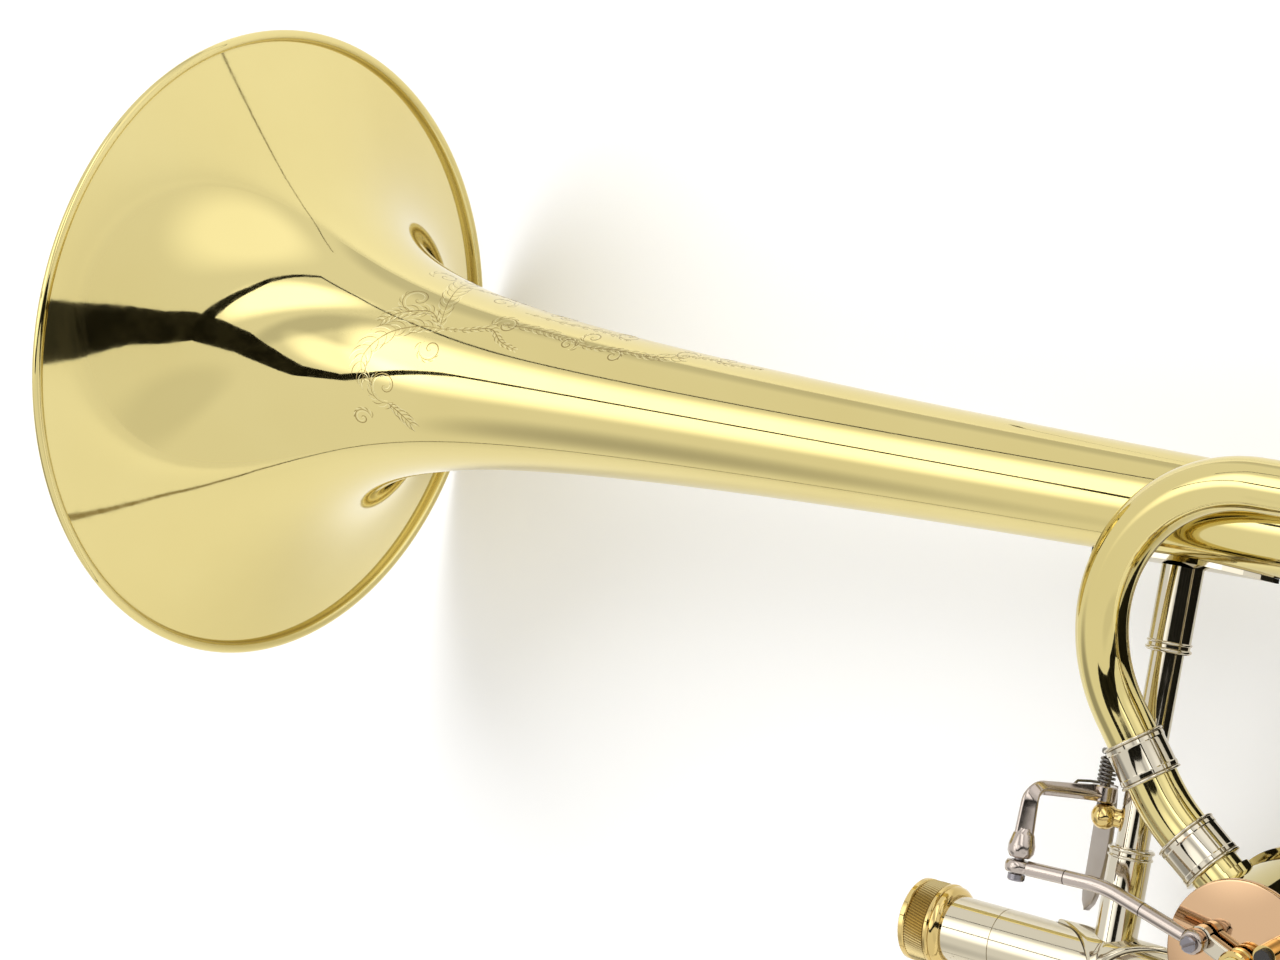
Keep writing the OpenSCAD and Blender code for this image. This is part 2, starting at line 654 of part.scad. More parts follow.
// F tuning slide
loop_leg_start = low_sleeve_start + 10;
module loop_leg(rise)
  lay() wrap_run(loop_leg_start, rise, 0) tube(loop_bow_x - loop_leg_start - seam, loop_r);
module loop_slide_upper_leg() color(lacquer) loop_leg(loop_top);
module loop_slide_lower_leg() color(lacquer) loop_leg(loop_low);
module loop_slide_bow() {
  color(lacquer) lay() in_wrap() translate([loop_bow_x, loop_low + loop_bow_r, 0]) rotate([0, 0, -90])
    bend(loop_bow_r, 180, loop_r);
}
module loop_slide_ferrules() {
  l = loop_bow_x - loop_sleeve_end - 1.5;
  color(nickel) for (y = [loop_low, loop_top]) lay() wrap_run(loop_bow_x - l, y, 0)
    ferrule(l - seam, loop_r + seam);
}
module loop_slide_brace() {
  color(nickel) lay() in_wrap() difference() {
    translate([loop_bow_x + 7, loop_low + 3, 0]) rotate([-90, 0, 0])
      cylinder(h = 2 * loop_bow_r - 6, r = 2.4);
    translate([loop_bow_x, loop_low + loop_bow_r, 0]) rotate_extrude() translate([loop_bow_r, 0])
      circle(r = loop_r + seam);
  }
}

bell();
bell_tail_ferrule();
bell_sleeve();
receiver();
brace_receiver_flange();
brace_lower_sleeve();
brace_tube();
brace_upper_sleeve();
brace_bell_flange();
tail_brace_tube();
tail_brace_flanges();
valve_casing();
casing_back_ring();
top_bearing();
back_bearing();
valve_cap_disc();
valve_back_cap();
bumper_posts();
stop_bumpers();
receiver_elbow();
exit_elbow();
exit_ferrule();
lower_sleeve();
neck_ferrule_low();
gooseneck();
neck_ferrule_high();
front_crook();
loop_upper_sleeve();
loop_lower_sleeve();
return_neck();
return_ferrule();
loop_stay();
loop_cross_stay();
hinge_ball();
hinge_pin();
return_spring();
lock_nut();
rotor();
stop_arm();
link_rod();
link_screw();
thumb_lever();
lever_stud();
slide_upper_leg();
slide_lower_leg();
slide_bow();
slide_ferrules();
slide_brace();
loop_slide_upper_leg();
loop_slide_lower_leg();
loop_slide_bow();
loop_slide_ferrules();
loop_slide_brace();
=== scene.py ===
import json
import math
import bmesh
import bpy
from mathutils import Matrix, Vector


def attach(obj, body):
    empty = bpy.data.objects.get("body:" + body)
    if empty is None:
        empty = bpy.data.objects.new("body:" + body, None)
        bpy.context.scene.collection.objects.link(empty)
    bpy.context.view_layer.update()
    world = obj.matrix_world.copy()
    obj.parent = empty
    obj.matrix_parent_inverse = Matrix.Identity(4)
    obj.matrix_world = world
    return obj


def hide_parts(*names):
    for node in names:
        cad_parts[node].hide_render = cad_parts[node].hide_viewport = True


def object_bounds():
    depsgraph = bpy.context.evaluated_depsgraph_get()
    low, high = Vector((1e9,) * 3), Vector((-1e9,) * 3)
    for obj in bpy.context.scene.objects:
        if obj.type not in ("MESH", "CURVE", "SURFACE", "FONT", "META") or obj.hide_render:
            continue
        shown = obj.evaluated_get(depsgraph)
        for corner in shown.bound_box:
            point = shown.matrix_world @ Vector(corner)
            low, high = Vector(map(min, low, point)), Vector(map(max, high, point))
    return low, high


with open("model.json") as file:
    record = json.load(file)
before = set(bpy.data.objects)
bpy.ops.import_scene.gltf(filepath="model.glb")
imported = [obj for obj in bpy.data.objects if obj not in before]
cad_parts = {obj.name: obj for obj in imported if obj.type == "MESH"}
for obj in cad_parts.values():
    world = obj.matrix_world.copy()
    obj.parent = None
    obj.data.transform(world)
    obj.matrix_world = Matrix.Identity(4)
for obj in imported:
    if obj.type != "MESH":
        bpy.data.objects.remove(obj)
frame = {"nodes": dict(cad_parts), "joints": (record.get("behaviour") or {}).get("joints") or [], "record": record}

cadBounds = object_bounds()
record = frame["record"]
joints = {joint["name"]: joint for joint in frame["joints"]}
nodes = frame["nodes"]
slots = {part["node"]: part["material_slot"] for part in record["subparts"]}
mm = 0.001


def moved(place):
    return Matrix.Translation(place)


def spun(angle, axis):
    return Matrix.Rotation(angle, 4, axis)


# The design's own axes: along the bell, up from the receiver to the bell, and out towards the lens
alongAxis = Vector(joints["main_slide_pull"]["axis"]).normalized()
riseAxis = Vector(joints["lever_swing"]["axis"]).normalized()
outAxis = alongAxis.cross(riseAxis)
layout = {
    "mouth": (297, -130.2, 0),  # the row frame's origin, in the design's axes and millimetres
    "tilt": 13.5, "valve": (407, 20.8), "spread": 130.2,
}
axes = Matrix((alongAxis, riseAxis, outAxis)).transposed().to_4x4()
origin = moved(-Vector(layout["mouth"]) * mm)
design = axes @ origin @ Matrix.Scale(mm, 4)  # design millimetres to row metres
wrap = design @ moved((0, -layout["spread"], 0)) @ spun(math.radians(layout["tilt"]), "X")
valve = wrap @ moved((*layout["valve"], 0))
quarter = math.pi / 2


def along(x, y=0, z=0):  # a lathe's axis laid along the bell
    return design @ moved((x, y, z)) @ spun(quarter, "Y")


def upward(x, y, z=0):  # a lathe's axis turned up towards the bell
    return design @ moved((x, y, z)) @ spun(-quarter, "X")


def port(angle, out):  # a lathe's axis leaving the valve at this angle
    return valve @ spun(math.radians(angle), "Z") @ moved((out, 0, 0)) @ spun(quarter, "Y")


# Camera
view = {
    "stands": (753.5, 1.1, 775.0),
    "right": (0.7829, 0.1752, -0.5970),
    "up": (-0.1536, 0.9843, 0.0875),
    "back": (0.6029, 0.0232, 0.7975),
    "lens": 87.28, "sensor": 36,
}


def makeCamera():
    data = bpy.data.cameras.new("camera")
    data.lens = view["lens"]
    data.sensor_width = view["sensor"]
    data.clip_start = 0.01
    data.clip_end = 40
    camera = bpy.data.objects.new("camera", data)
    bpy.context.scene.collection.objects.link(camera)
    turn = Matrix((view["right"], view["up"], view["back"])).transposed().to_4x4()
    stands = design @ Vector(view["stands"])
    camera.matrix_world = moved(stands) @ axes @ turn
    bpy.context.scene.camera = camera


makeCamera()
print("camera placed")


# Materials
def newMaterial(name):
    material = bpy.data.materials.new(name)
    material.use_nodes = True
    return material, material.node_tree, material.node_tree.nodes["Principled BSDF"]


def addNode(tree, kind, links=(), **values):
    node = tree.nodes.new(kind)
    for key, value in values.items():
        if key in node.inputs.keys():
            node.inputs[key].default_value = value
        else:
            setattr(node, key, value)
    for socket, source in links:
        tree.links.new(source, node.inputs[socket])
    return node


def blendColour(tree, amount, first, second):
    node = addNode(tree, "ShaderNodeMix", data_type="RGBA")
    for index, source in ((0, amount), (6, first), (7, second)):
        if isinstance(source, tuple):
            node.inputs[index].default_value = (*source, 1)
        else:
            tree.links.new(source, node.inputs[index])
    return node.outputs[2]


def remap(tree, source, low, high, start, end):
    links = [("Value", source)]
    node = addNode(tree, "ShaderNodeMapRange", links, **{
        "From Min": low, "From Max": high, "To Min": start, "To Max": end})
    return node.outputs["Result"]


def metalMaterial(name, look):
    material, tree, shader = newMaterial(name)
    link = tree.links.new
    place = addNode(tree, "ShaderNodeTexCoord").outputs["Object"]
    cloud = addNode(tree, "ShaderNodeTexNoise", [("Vector", place)], Scale=look["cloudScale"], Detail=4.0)
    fine = addNode(tree, "ShaderNodeTexNoise", [("Vector", place)], Scale=look["fineScale"], Detail=8.0)
    wave = addNode(tree, "ShaderNodeTexNoise", [("Vector", place)], Scale=look["waveScale"], Detail=2.0)
    base = blendColour(tree, remap(tree, cloud.outputs["Fac"], 0.35, 0.7, 0, look["cloudDepth"]),
                       look["colour"], look["deepColour"])
    # painted shade: an ambient-occlusion mask darkens creases, joints and recesses towards creaseColour
    crease = addNode(tree, "ShaderNodeAmbientOcclusion", samples=8, Distance=look["creaseReach"])
    paintedCreaseShade = remap(tree, crease.outputs["AO"], 0.15, 0.7, look["creaseDepth"], 0)
    base = blendColour(tree, paintedCreaseShade, base, look["creaseColour"])
    rough = remap(tree, fine.outputs["Fac"], 0.3, 0.8, look["rough"][0], look["rough"][1])
    height = fine.outputs["Fac"]
    if look["pits"]:
        cells = addNode(tree, "ShaderNodeTexVoronoi", [("Vector", place)], Scale=look["pits"]["scale"])
        spot = remap(tree, cells.outputs["Distance"], 0.10, 0.2, 1, 0)
        patch = remap(tree, cloud.outputs["Fac"], look["pits"]["from"], look["pits"]["from"] + 0.08, 0, 1)
        both = addNode(tree, "ShaderNodeMath", [(0, spot), (1, patch)], operation="MULTIPLY").outputs[0]
        base = blendColour(tree, both, base, look["pits"]["colour"])
        rough = addNode(tree, "ShaderNodeMath", [(0, rough), (1, both)], operation="MAXIMUM").outputs[0]
    link(base, shader.inputs["Base Color"])
    link(rough, shader.inputs["Roughness"])
    swell = addNode(tree, "ShaderNodeBump", [("Height", wave.outputs["Fac"])], Strength=look["swell"],
                    Distance=0.001)
    grain = addNode(tree, "ShaderNodeBump", [("Height", height), ("Normal", swell.outputs["Normal"])],
                    Strength=look["bump"], Distance=0.0002)
    link(grain.outputs["Normal"], shader.inputs["Normal"])
    shader.inputs["Metallic"].default_value = 1.0
    return material


brassLook = {
    "colour": (0.72, 0.615, 0.275), "deepColour": (0.65, 0.535, 0.21), "cloudScale": 9, "cloudDepth": 0.6,
    "fineScale": 260, "waveScale": 14, "rough": (0.03, 0.07), "bump": 0.02, "swell": 0.006, "pits": None,
    # creaseReach, creaseDepth and creaseColour set the painted shade laid into creases by the ambient-occlusion
    # mask
    "creaseReach": 0.003, "creaseDepth": 0.55, "creaseColour": (0.16, 0.09, 0.02),
}
goldLook = {**brassLook, "colour": (0.72, 0.545, 0.22), "deepColour": (0.55, 0.38, 0.12),
            "rough": (0.06, 0.12)}
knurlLook = {**goldLook, "colour": (0.60, 0.48, 0.23), "deepColour": (0.38, 0.30, 0.14), "rough": (0.14, 0.3)}
copperLook = {**brassLook, "colour": (0.70, 0.46, 0.27), "deepColour": (0.62, 0.37, 0.19),
              "rough": (0.04, 0.09)}
nickelLook = {
    **brassLook, "colour": (0.64, 0.585, 0.47), "deepColour": (0.55, 0.49, 0.36), "rough": (0.04, 0.09),
    # painted shade colour for creases
    "creaseColour": (0.14, 0.09, 0.04),
}
wornLook = {
    **nickelLook, "colour": (0.66, 0.60, 0.46), "deepColour": (0.55, 0.47, 0.30), "swell": 0.01,
    "pits": {"scale": 620, "from": 0.49, "colour": (0.12, 0.07, 0.03)},
}
leverLook = {**nickelLook, "colour": (0.50, 0.435, 0.385), "deepColour": (0.36, 0.30, 0.26),
             "rough": (0.10, 0.2)}
paddleLook = {**leverLook, "colour": (0.42, 0.375, 0.335), "deepColour": (0.30, 0.26, 0.23),
              "rough": (0.28, 0.42)}
steelLook = {**nickelLook, "colour": (0.20, 0.19, 0.18), "deepColour": (0.10, 0.09, 0.085),
             "rough": (0.18, 0.32)}
screwLook = {**nickelLook, "colour": (0.30, 0.28, 0.30), "deepColour": (0.17, 0.16, 0.17),
             "rough": (0.22, 0.4)}
etchLook = {**brassLook, "colour": (0.38, 0.29, 0.11), "deepColour": (0.24, 0.17, 0.06), "rough": (0.16, 0.3)}
# painted highlight: a paler brass for half the engraved strokes, standing in for glints off the cuts
glintLook = {**brassLook, "colour": (0.86, 0.77, 0.42), "deepColour": (0.58, 0.46, 0.19),
             "rough": (0.05, 0.14)}
# painted shade: a near-black finish for thin strips standing in for the shade in seams and crevices
grooveLook = {**nickelLook, "colour": (0.06, 0.045, 0.03), "deepColour": (0.03, 0.02, 0.015),
              "rough": (0.3, 0.5)}


def rubberMaterial():
    material, tree, shader = newMaterial("bumperRubber")
    place = addNode(tree, "ShaderNodeTexCoord").outputs["Object"]
    grain = addNode(tree, "ShaderNodeTexNoise", [("Vector", place)], Scale=900, Detail=6.0)
    tree.links.new(blendColour(tree, grain.outputs["Fac"], (0.012, 0.011, 0.010), (0.035, 0.031, 0.028)),
                   shader.inputs["Base Color"])
    tree.links.new(remap(tree, grain.outputs["Fac"], 0.3, 0.7, 0.5, 0.7), shader.inputs["Roughness"])
    bump = addNode(tree, "ShaderNodeBump", [("Height", grain.outputs["Fac"])], Strength=0.4, Distance=0.0002)
    tree.links.new(bump.outputs["Normal"], shader.inputs["Normal"])
    return material


finishes = {
    "lacquered_brass": metalMaterial("lacqueredBrass", brassLook),
    "gold_brass": metalMaterial("goldBrass", goldLook),
    "red_brass": metalMaterial("redBrass", copperLook),
    "nickel_silver": metalMaterial("nickelSilver", nickelLook),
    "lever_nickel": metalMaterial("leverNickel", leverLook),
    "dark_steel": metalMaterial("darkSteel", steelLook),
    "bumper_rubber": rubberMaterial(),
    "paddle": metalMaterial("paddleNickel", paddleLook),
    "knurl": metalMaterial("knurledBrass", knurlLook),
    "worn": metalMaterial("wornNickel", wornLook),
    "screw": metalMaterial("screwSteel", screwLook),
    "etched": metalMaterial("etchedBrass", etchLook),
    "glint": metalMaterial("glintBrass", glintLook),
    "groove": metalMaterial("paintedGrooveShade", grooveLook),
}
for name, node in nodes.items():
    node.data.materials.clear()
    node.data.materials.append(finishes[slots[name]])
print("finishes made")


# Shared shapes
def addPiece(name, shape, place, slotName, body, covers=(), finish=None, sharp=32):
    bmesh.ops.remove_doubles(shape, verts=shape.verts, dist=0.0005)
    bmesh.ops.recalc_face_normals(shape, faces=shape.faces)
    shape.transform(place)
    mesh = bpy.data.meshes.new(name)
    shape.to_mesh(mesh)
    shape.free()
    mesh.shade_smooth()
    mesh.set_sharp_from_angle(angle=math.radians(sharp))
    mesh.materials.append(finishes[finish or slotName])
    piece = bpy.data.objects.new(name, mesh)
    bpy.context.scene.collection.objects.link(piece)
    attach(piece, body)
    if covers:
        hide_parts(*covers)
    return piece


def lathe(profile, steps=64, closed=True):  # profile of (height, radius) turned round Z
    shape = bmesh.new()
    ring = [shape.verts.new((radius, 0, height)) for height, radius in profile]
    pairs = list(zip(ring, ring[1:] + ring[:1])) if closed else list(zip(ring, ring[1:]))
    edges = [shape.edges.new(pair) for pair in pairs]
    bmesh.ops.spin(shape, geom=ring + edges, cent=(0, 0, 0), axis=(0, 0, 1), angle=2 * math.pi, steps=steps,
                   use_merge=True)
    return shape


def sweep(path, section, closedEnds=True, shape=None):  # carries (across, over) points along a path
    shape = shape or bmesh.new()
    points = [Vector(point) for point in path]
    over = None
    rings = []
    for index, point in enumerate(points):
        ahead = points[min(index + 1, len(points) - 1)] - points[max(index - 1, 0)]
        ahead.normalize()
        if over is None:
            over = ahead.orthogonal() if abs(ahead.z) > 0.95 else Vector((0, 0, 1))
        over = (over - ahead * over.dot(ahead)).normalized()
        side = ahead.cross(over)
        size = section(index / (len(points) - 1)) if callable(section) else section
        rings.append([shape.verts.new(point + side * a + over * b) for a, b in size])
    for first, second in zip(rings, rings[1:]):
        for index in range(len(first)):
            after = (index + 1) % len(first)
            shape.faces.new((first[index], first[after], second[after], second[index]))
    if closedEnds:
        shape.faces.new(rings[0])
        shape.faces.new(rings[-1])
    return shape


def circle(radius, count=48):
    return [(radius * math.cos(2 * math.pi * k / count), radius * math.sin(2 * math.pi * k / count))
            for k in range(count)]


def roundedBox(width, height, corner, count=4):
    points = []
    for turn, (a, b) in enumerate(((1, 1), (-1, 1), (-1, -1), (1, -1))):
        for k in range(count + 1):
            angle = quarter * (turn + k / count)
            points.append((a * (width / 2 - corner) + corner * math.cos(angle),
                           b * (height / 2 - corner) + corner * math.sin(angle)))
    return points


def arc(centre, radius, start, end, step=3):  # points in the loop's plane, angles in degrees
    count = max(2, int(abs(end - start) / step))
    return [(centre[0] + radius * math.cos(math.radians(start + (end - start) * k / count)),
             centre[1] + radius * math.sin(math.radians(start + (end - start) * k / count)), 0)
            for k in range(count + 1)]


def run(first, second, count=8):
    return [tuple(Vector(first).lerp(Vector(second), k / count)) for k in range(1, count)]


def hollowTube(name, path, radius, wall, place, slotName, body, covers, finish=None):
    shape = bmesh.new()
    count = 56
    sweep(path, circle(radius, count), False, shape)
    outer = len(shape.verts)
    sweep(path, circle(radius - wall, count), False, shape)
    shape.verts.ensure_lookup_table()
    for start in (0, outer - count):
        for k in range(count):
            after = (k + 1) % count
            shape.faces.new((shape.verts[start + k], shape.verts[start + after],
                             shape.verts[start + outer + after], shape.verts[start + outer + k]))
    return addPiece(name, shape, place, slotName, body, covers, finish)


# Bell
bell = {
    "length": 445, "stem": 12, "throat": 27.6, "throatRun": 160, "flare": 68.4, "flareRun": 27.5,
    "sheet": 0.8, "rimTube": 1.7, "rings": 96, "steps": 256,
}


def bellRadius(x):
    return (bell["stem"] + bell["throat"] * math.exp(-x / bell["throatRun"])
            + bell["flare"] * math.exp(-x / bell["flareRun"]))


def bellSlope(x):
    return (-bell["throat"] / bell["throatRun"] * math.exp(-x / bell["throatRun"])
            - bell["flare"] / bell["flareRun"] * math.exp(-x / bell["flareRun"]))


def makeBell():
    rim = bell["rimTube"]
    ringRadius = bellRadius(0) - rim
    start = 1.36
    places = [start + (bell["length"] - start) * (k / bell["rings"]) ** 2.1 for k in range(bell["rings"] + 1)]
    outside = [(x, bellRadius(x)) for x in reversed(places)]
    inside = [(x, bellRadius(x) - bell["sheet"] * math.hypot(1, bellSlope(x))) for x in places]
    bead = []
    for k in range(37):
        angle = math.radians(178 - 322 * k / 36)
        bead.append((rim + rim * math.sin(angle), ringRadius + rim * math.cos(angle)))
    inside = [point for point in inside if point[1] < ringRadius - rim - 0.15]
    shape = lathe(outside + bead + inside, bell["steps"])
    return addPiece("bellSheet", shape, along(0), "lacquered_brass", "bell_section", ("bell",), sharp=28)


makeBell()
print("bell turned")


# Scrolls on the throat: ribbons a twentieth of a millimetre proud of the sheet
scroll = {
    "proud": 0.05, "width": 0.62,
    "curls": [  # along, turn, size, start, wind
        (83, 44, 6.5, 20, 1), (97, 75, 4.4, 200, -1), (83, 102, 6, 60, 1), (74, 122, 3.4, 0, -1),
        (118, 43, 4.6, 160, 1),
        (143, 46, 3.2, 40, -1), (149, 31, 3.6, 90, 1), (161, 47, 3.2, 210, 1), (183, 24, 4.2, 10, -1),
        (80, 12, 4.5, 120, 1), (106, 16, 4.5, 30, -1), (130, 8, 4.4, 150, 1), (158, 12, 4.4, 250, -1),
        (197, 12, 3.4, 80, 1),
    ],
    "feathers": [  # points of (along, turn), leaf length
        ([(97, 60), (93, 40), (89, 20), (84, -6)], 8.5),
        ([(99, 60), (90, 62), (80, 72), (74, 88), (76, 101)], 8.0),
        ([(96, 58), (90, 50), (81, 57), (76, 66)], 5.5), ([(84, 112), (88, 118), (92, 126)], 5.0),
        ([(97, 60), (106, 56), (114, 50), (120, 58), (127, 62)], 3.0),
        ([(112, 46), (124, 40), (134, 39), (140, 41)], 4.6),
        ([(140, 40), (150, 44), (160, 40), (170, 38), (178, 38)], 3.2),
        ([(168, 42), (176, 36), (184, 30)], 5.2),
        ([(118, 22), (134, 20), (148, 16), (160, 22)], 3.2),
        ([(180, 28), (190, 20), (200, 22), (210, 16)], 2.8),
        ([(88, 16), (98, 4), (110, -4), (124, -10)], 3.4),
    ],
}


def onBell(x, turn, lift):  # turn in degrees from straight up towards the lens
    radius = bellRadius(x) + lift
    angle = math.radians(turn)
    return Vector((x, radius * math.cos(angle), radius * math.sin(angle)))


def cutLine(shape, path, width):  # path of (along, turn) on the bell
    rows = []
    count = len(path)
    for k, (x, turn) in enumerate(path):
        before = path[max(k - 1, 0)]
        after = path[min(k + 1, count - 1)]
        reach = bellRadius(x) * math.pi / 180
        dx = after[0] - before[0]
        dt = (after[1] - before[1]) * reach
        size = math.hypot(dx, dt) or 1
        half = width * (0.25 + 0.75 * math.sin(math.pi * min(0.98, max(0.02, k / (count - 1))))) / 2
        sx = -dt / size * half
        st = dx / size * half / reach
        rows.append([shape.verts.new(onBell(x + sx * side, turn + st * side, lift))
                     for side, lift in ((-1, -0.02), (0, scroll["proud"]), (1, -0.02))])
    for first, second in zip(rows, rows[1:]):
        for k in range(2):
            shape.faces.new((first[k], first[k + 1], second[k + 1], second[k]))


def spiral(x, turn, size, start, wind, turns=1.4, count=26):
    points = []
    reach = bellRadius(x) * math.pi / 180
    for k in range(count + 1):
        part = k / count
        radius = size * (1 - part) ** 0.8
        angle = math.radians(start + wind * 360 * turns * part)
        points.append((x + radius * math.cos(angle), turn + radius * math.sin(angle) / reach))
    return points


def leaf(x, turn, length, heading, curl, count=12):
    points = []
    reach = bellRadius(x) * math.pi / 180
    angle = math.radians(heading)
    for k in range(count + 1):
        points.append((x, turn))
        angle += math.radians(curl) / count
        x += length / count * math.cos(angle)
        turn += length / count * math.sin(angle) / reach
    return points


def smoothPath(points, steps=7):  # a curve through (along, turn) points
    ends = [points[0]] + list(points) + [points[-1]]
    path = []
    for k in range(1, len(ends) - 2):
        a, b, c, d = ends[k - 1:k + 3]
        for step in range(steps):
            t = step / steps
            path.append(tuple(0.5 * (2 * b[i] + (c[i] - a[i]) * t
                                     + (2 * a[i] - 5 * b[i] + 4 * c[i] - d[i]) * t ** 2
                                     + (3 * b[i] - a[i] - 3 * c[i] + d[i]) * t ** 3) for i in (0, 1)))
    return path + [tuple(points[-1])]


def feather(shapes, points, size, lean=74):  # a stem with curved leaves down both sides
    path = smoothPath(points)
    width = scroll["width"]
    cutLine(shapes[0], path, width)
    for k in range(1, len(path) - 1):
        reach = bellRadius(path[k][0]) * math.pi / 180
        onward = (path[k + 1][0] - path[k - 1][0], (path[k + 1][1] - path[k - 1][1]) * reach)
        heading = math.degrees(math.atan2(onward[1], onward[0]))
        swell = 0.35 + 0.65 * math.sin(math.pi * k / len(path))
        for side in (-1, 1):
            long = size * swell * (1 if (k + side) % 3 else 0.65)
            cutLine(shapes[k % 2], leaf(*path[k], long, heading + side * lean, -side * 88), width * 0.7)


def makeScrolls():
    shapes = [bmesh.new(), bmesh.new()]
    width = scroll["width"]
    for x, turn, size, start, wind in scroll["curls"]:
        cutLine(shapes[0], spiral(x, turn, size, start, wind), width)
        cutLine(shapes[1], spiral(x, turn, size * 0.86, start + 14, wind, 1.1), width * 0.7)
        outer = spiral(x, turn, size, start, wind)
        for k in range(9):
            cutLine(shapes[k % 2], leaf(*outer[k], size * (0.75 - 0.05 * k), start + wind * (20 * k + 40),
                                        wind * 80), width * 0.7)
    for points, size in scroll["feathers"]:
        feather(shapes, points, size)
    addPiece("throatScrolls", shapes[0], design, "lacquered_brass", "bell_section", finish="etched", sharp=80)
    # the glint strokes' paler finish is a painted highlight
    addPiece("throatGlints", shapes[1], design, "lacquered_brass", "bell_section", finish="glint", sharp=80)


makeScrolls()
print("scrolls cut")


# Lock nut
nut = {"start": 295, "length": 13, "radius": 12, "hole": 9.65, "cavity": 10.9, "web": 8.9, "teeth": 88}


def makeNut():
    r = nut["radius"]
    end = nut["length"]
    collar = [
        (0, nut["cavity"]), (0, r - 0.9), (0.25, r - 0.35), (0.7, r), (1.9, r), (2.2, r - 0.3),
        (2.35, r - 0.85),
        (8.5, r - 0.85), (8.65, r - 0.35), (9.0, r + 0.1), (9.8, r + 0.15), (10.2, r - 0.15), (10.4, r - 0.6),
        (10.6, r - 0.2), (11.6, r - 0.3), (12.5, r - 0.9), (end, r - 1.7), (end, nut["hole"]),
        (nut["web"], nut["hole"]),
        (nut["web"], nut["cavity"]),
    ]
    addPiece("nutCollars", lathe(collar, 96), along(nut["start"], -layout["spread"]), "gold_brass", "lock_nut",
             ("lock_nut",))
    shape = bmesh.new()
    rows = []
    heights = (2.3, 2.5, 5.4, 8.4, 8.6)
    lifts = (-0.85, -0.42, -0.34, -0.42, -0.85)
    count = nut["teeth"] * 4
    for row, (height, lift) in enumerate(zip(heights, lifts)):
        ring = []
        for k in range(count):
            tooth = (-0.3, 0, 0.3, 0)[k % 4] if 0 < row < 4 else 0
            angle = 2 * math.pi * k / count + height * 0.02
            ring.append(shape.verts.new(((r + lift + tooth) * math.cos(angle),
                                         (r + lift + tooth) * math.sin(angle), height)))
        rows.append(ring)
    for first, second in zip(rows, rows[1:]):
        for k in range(count):
            after = (k + 1) % count
            shape.faces.new((first[k], first[after], second[after], second[k]))
    addPiece("nutKnurl", shape, along(nut["start"], -layout["spread"]), "gold_brass", "lock_nut",
             finish="knurl", sharp=20)


makeNut()

# Receiver
receiver = {
    "start": 297, "end": 383.92, "radius": 9.6, "bore": 7.9, "boreEnd": 327, "tube": 6.7, "ring": 324,
    "ledge": 301.5,
}


def makeReceiver():
    r = receiver["radius"]
    ring = receiver["ring"]
    ledge = receiver["ledge"]
    profile = [
        (receiver["start"], receiver["bore"]), (receiver["start"], r - 0.3), (receiver["start"] + 0.3, r),
        (ledge, r), (ledge, r + 1.1), (ledge + 2.2, r + 1.1), (ledge + 2.2, r),
        (ring - 0.18, r), (ring - 0.1, r - 0.2), (ring + 0.1, r - 0.2), (ring + 0.18, r),
        (receiver["end"] - 0.3, r), (receiver["end"], r - 0.3), (receiver["end"], receiver["tube"]),
        (receiver["boreEnd"], receiver["tube"]), (receiver["boreEnd"], receiver["bore"]),
    ]
    addPiece("receiverTube", lathe(profile, 96), along(0, -layout["spread"]), "nickel_silver", "bell_section",
             ("receiver",), finish="worn")


makeReceiver()


# Front brace
brace = {"x": 358, "tube": 4.65, "sleeve": 5.98, "foot": -120.4, "lowBead": -95, "highBead": -40, "top": -16}


def beaded(start, end, radius, beads, inner):
    profile = [(start, inner), (start, radius)]
    for place, size in beads:
        for k in range(9):
            angle = math.pi * k / 8
            profile.append((place - size * math.cos(angle), radius + size * math.sin(angle)))
    return profile + [(end, radius), (end, inner)]


def makeBrace():
    x = brace["x"]
    low = beaded(brace["foot"] - 3, brace["lowBead"], brace["sleeve"],
                 [(brace["lowBead"] - 2.7, 0.45), (brace["lowBead"] - 0.75, 0.6)], brace["tube"])
    addPiece("braceFootSleeve", lathe(low, 64), upward(x, 0), "nickel_silver", "bell_section",
             ("brace_lower_sleeve",))
    high = beaded(brace["highBead"], brace["top"], brace["sleeve"],
                  [(brace["highBead"] + 0.75, 0.6), (brace["highBead"] + 2.7, 0.45)], brace["tube"])
    addPiece("braceHeadSleeve", lathe(high, 64), upward(x, 0), "nickel_silver", "bell_section",
             ("brace_upper_sleeve",))
    middle = [(-107, brace["tube"] - 1), (-107, brace["tube"]), (-32, brace["tube"]),
              (-32, brace["tube"] - 1)]
    addPiece("braceTube", lathe(middle, 64), upward(x, 0), "nickel_silver", "bell_section", ("brace_tube",))


# The brace's saddle: four points with hollow sides, wrapped round the receiver
saddle = {"halfLength": 18.5, "halfArc": 17.5, "power": 0.72, "thick": 1.25, "around": 96}


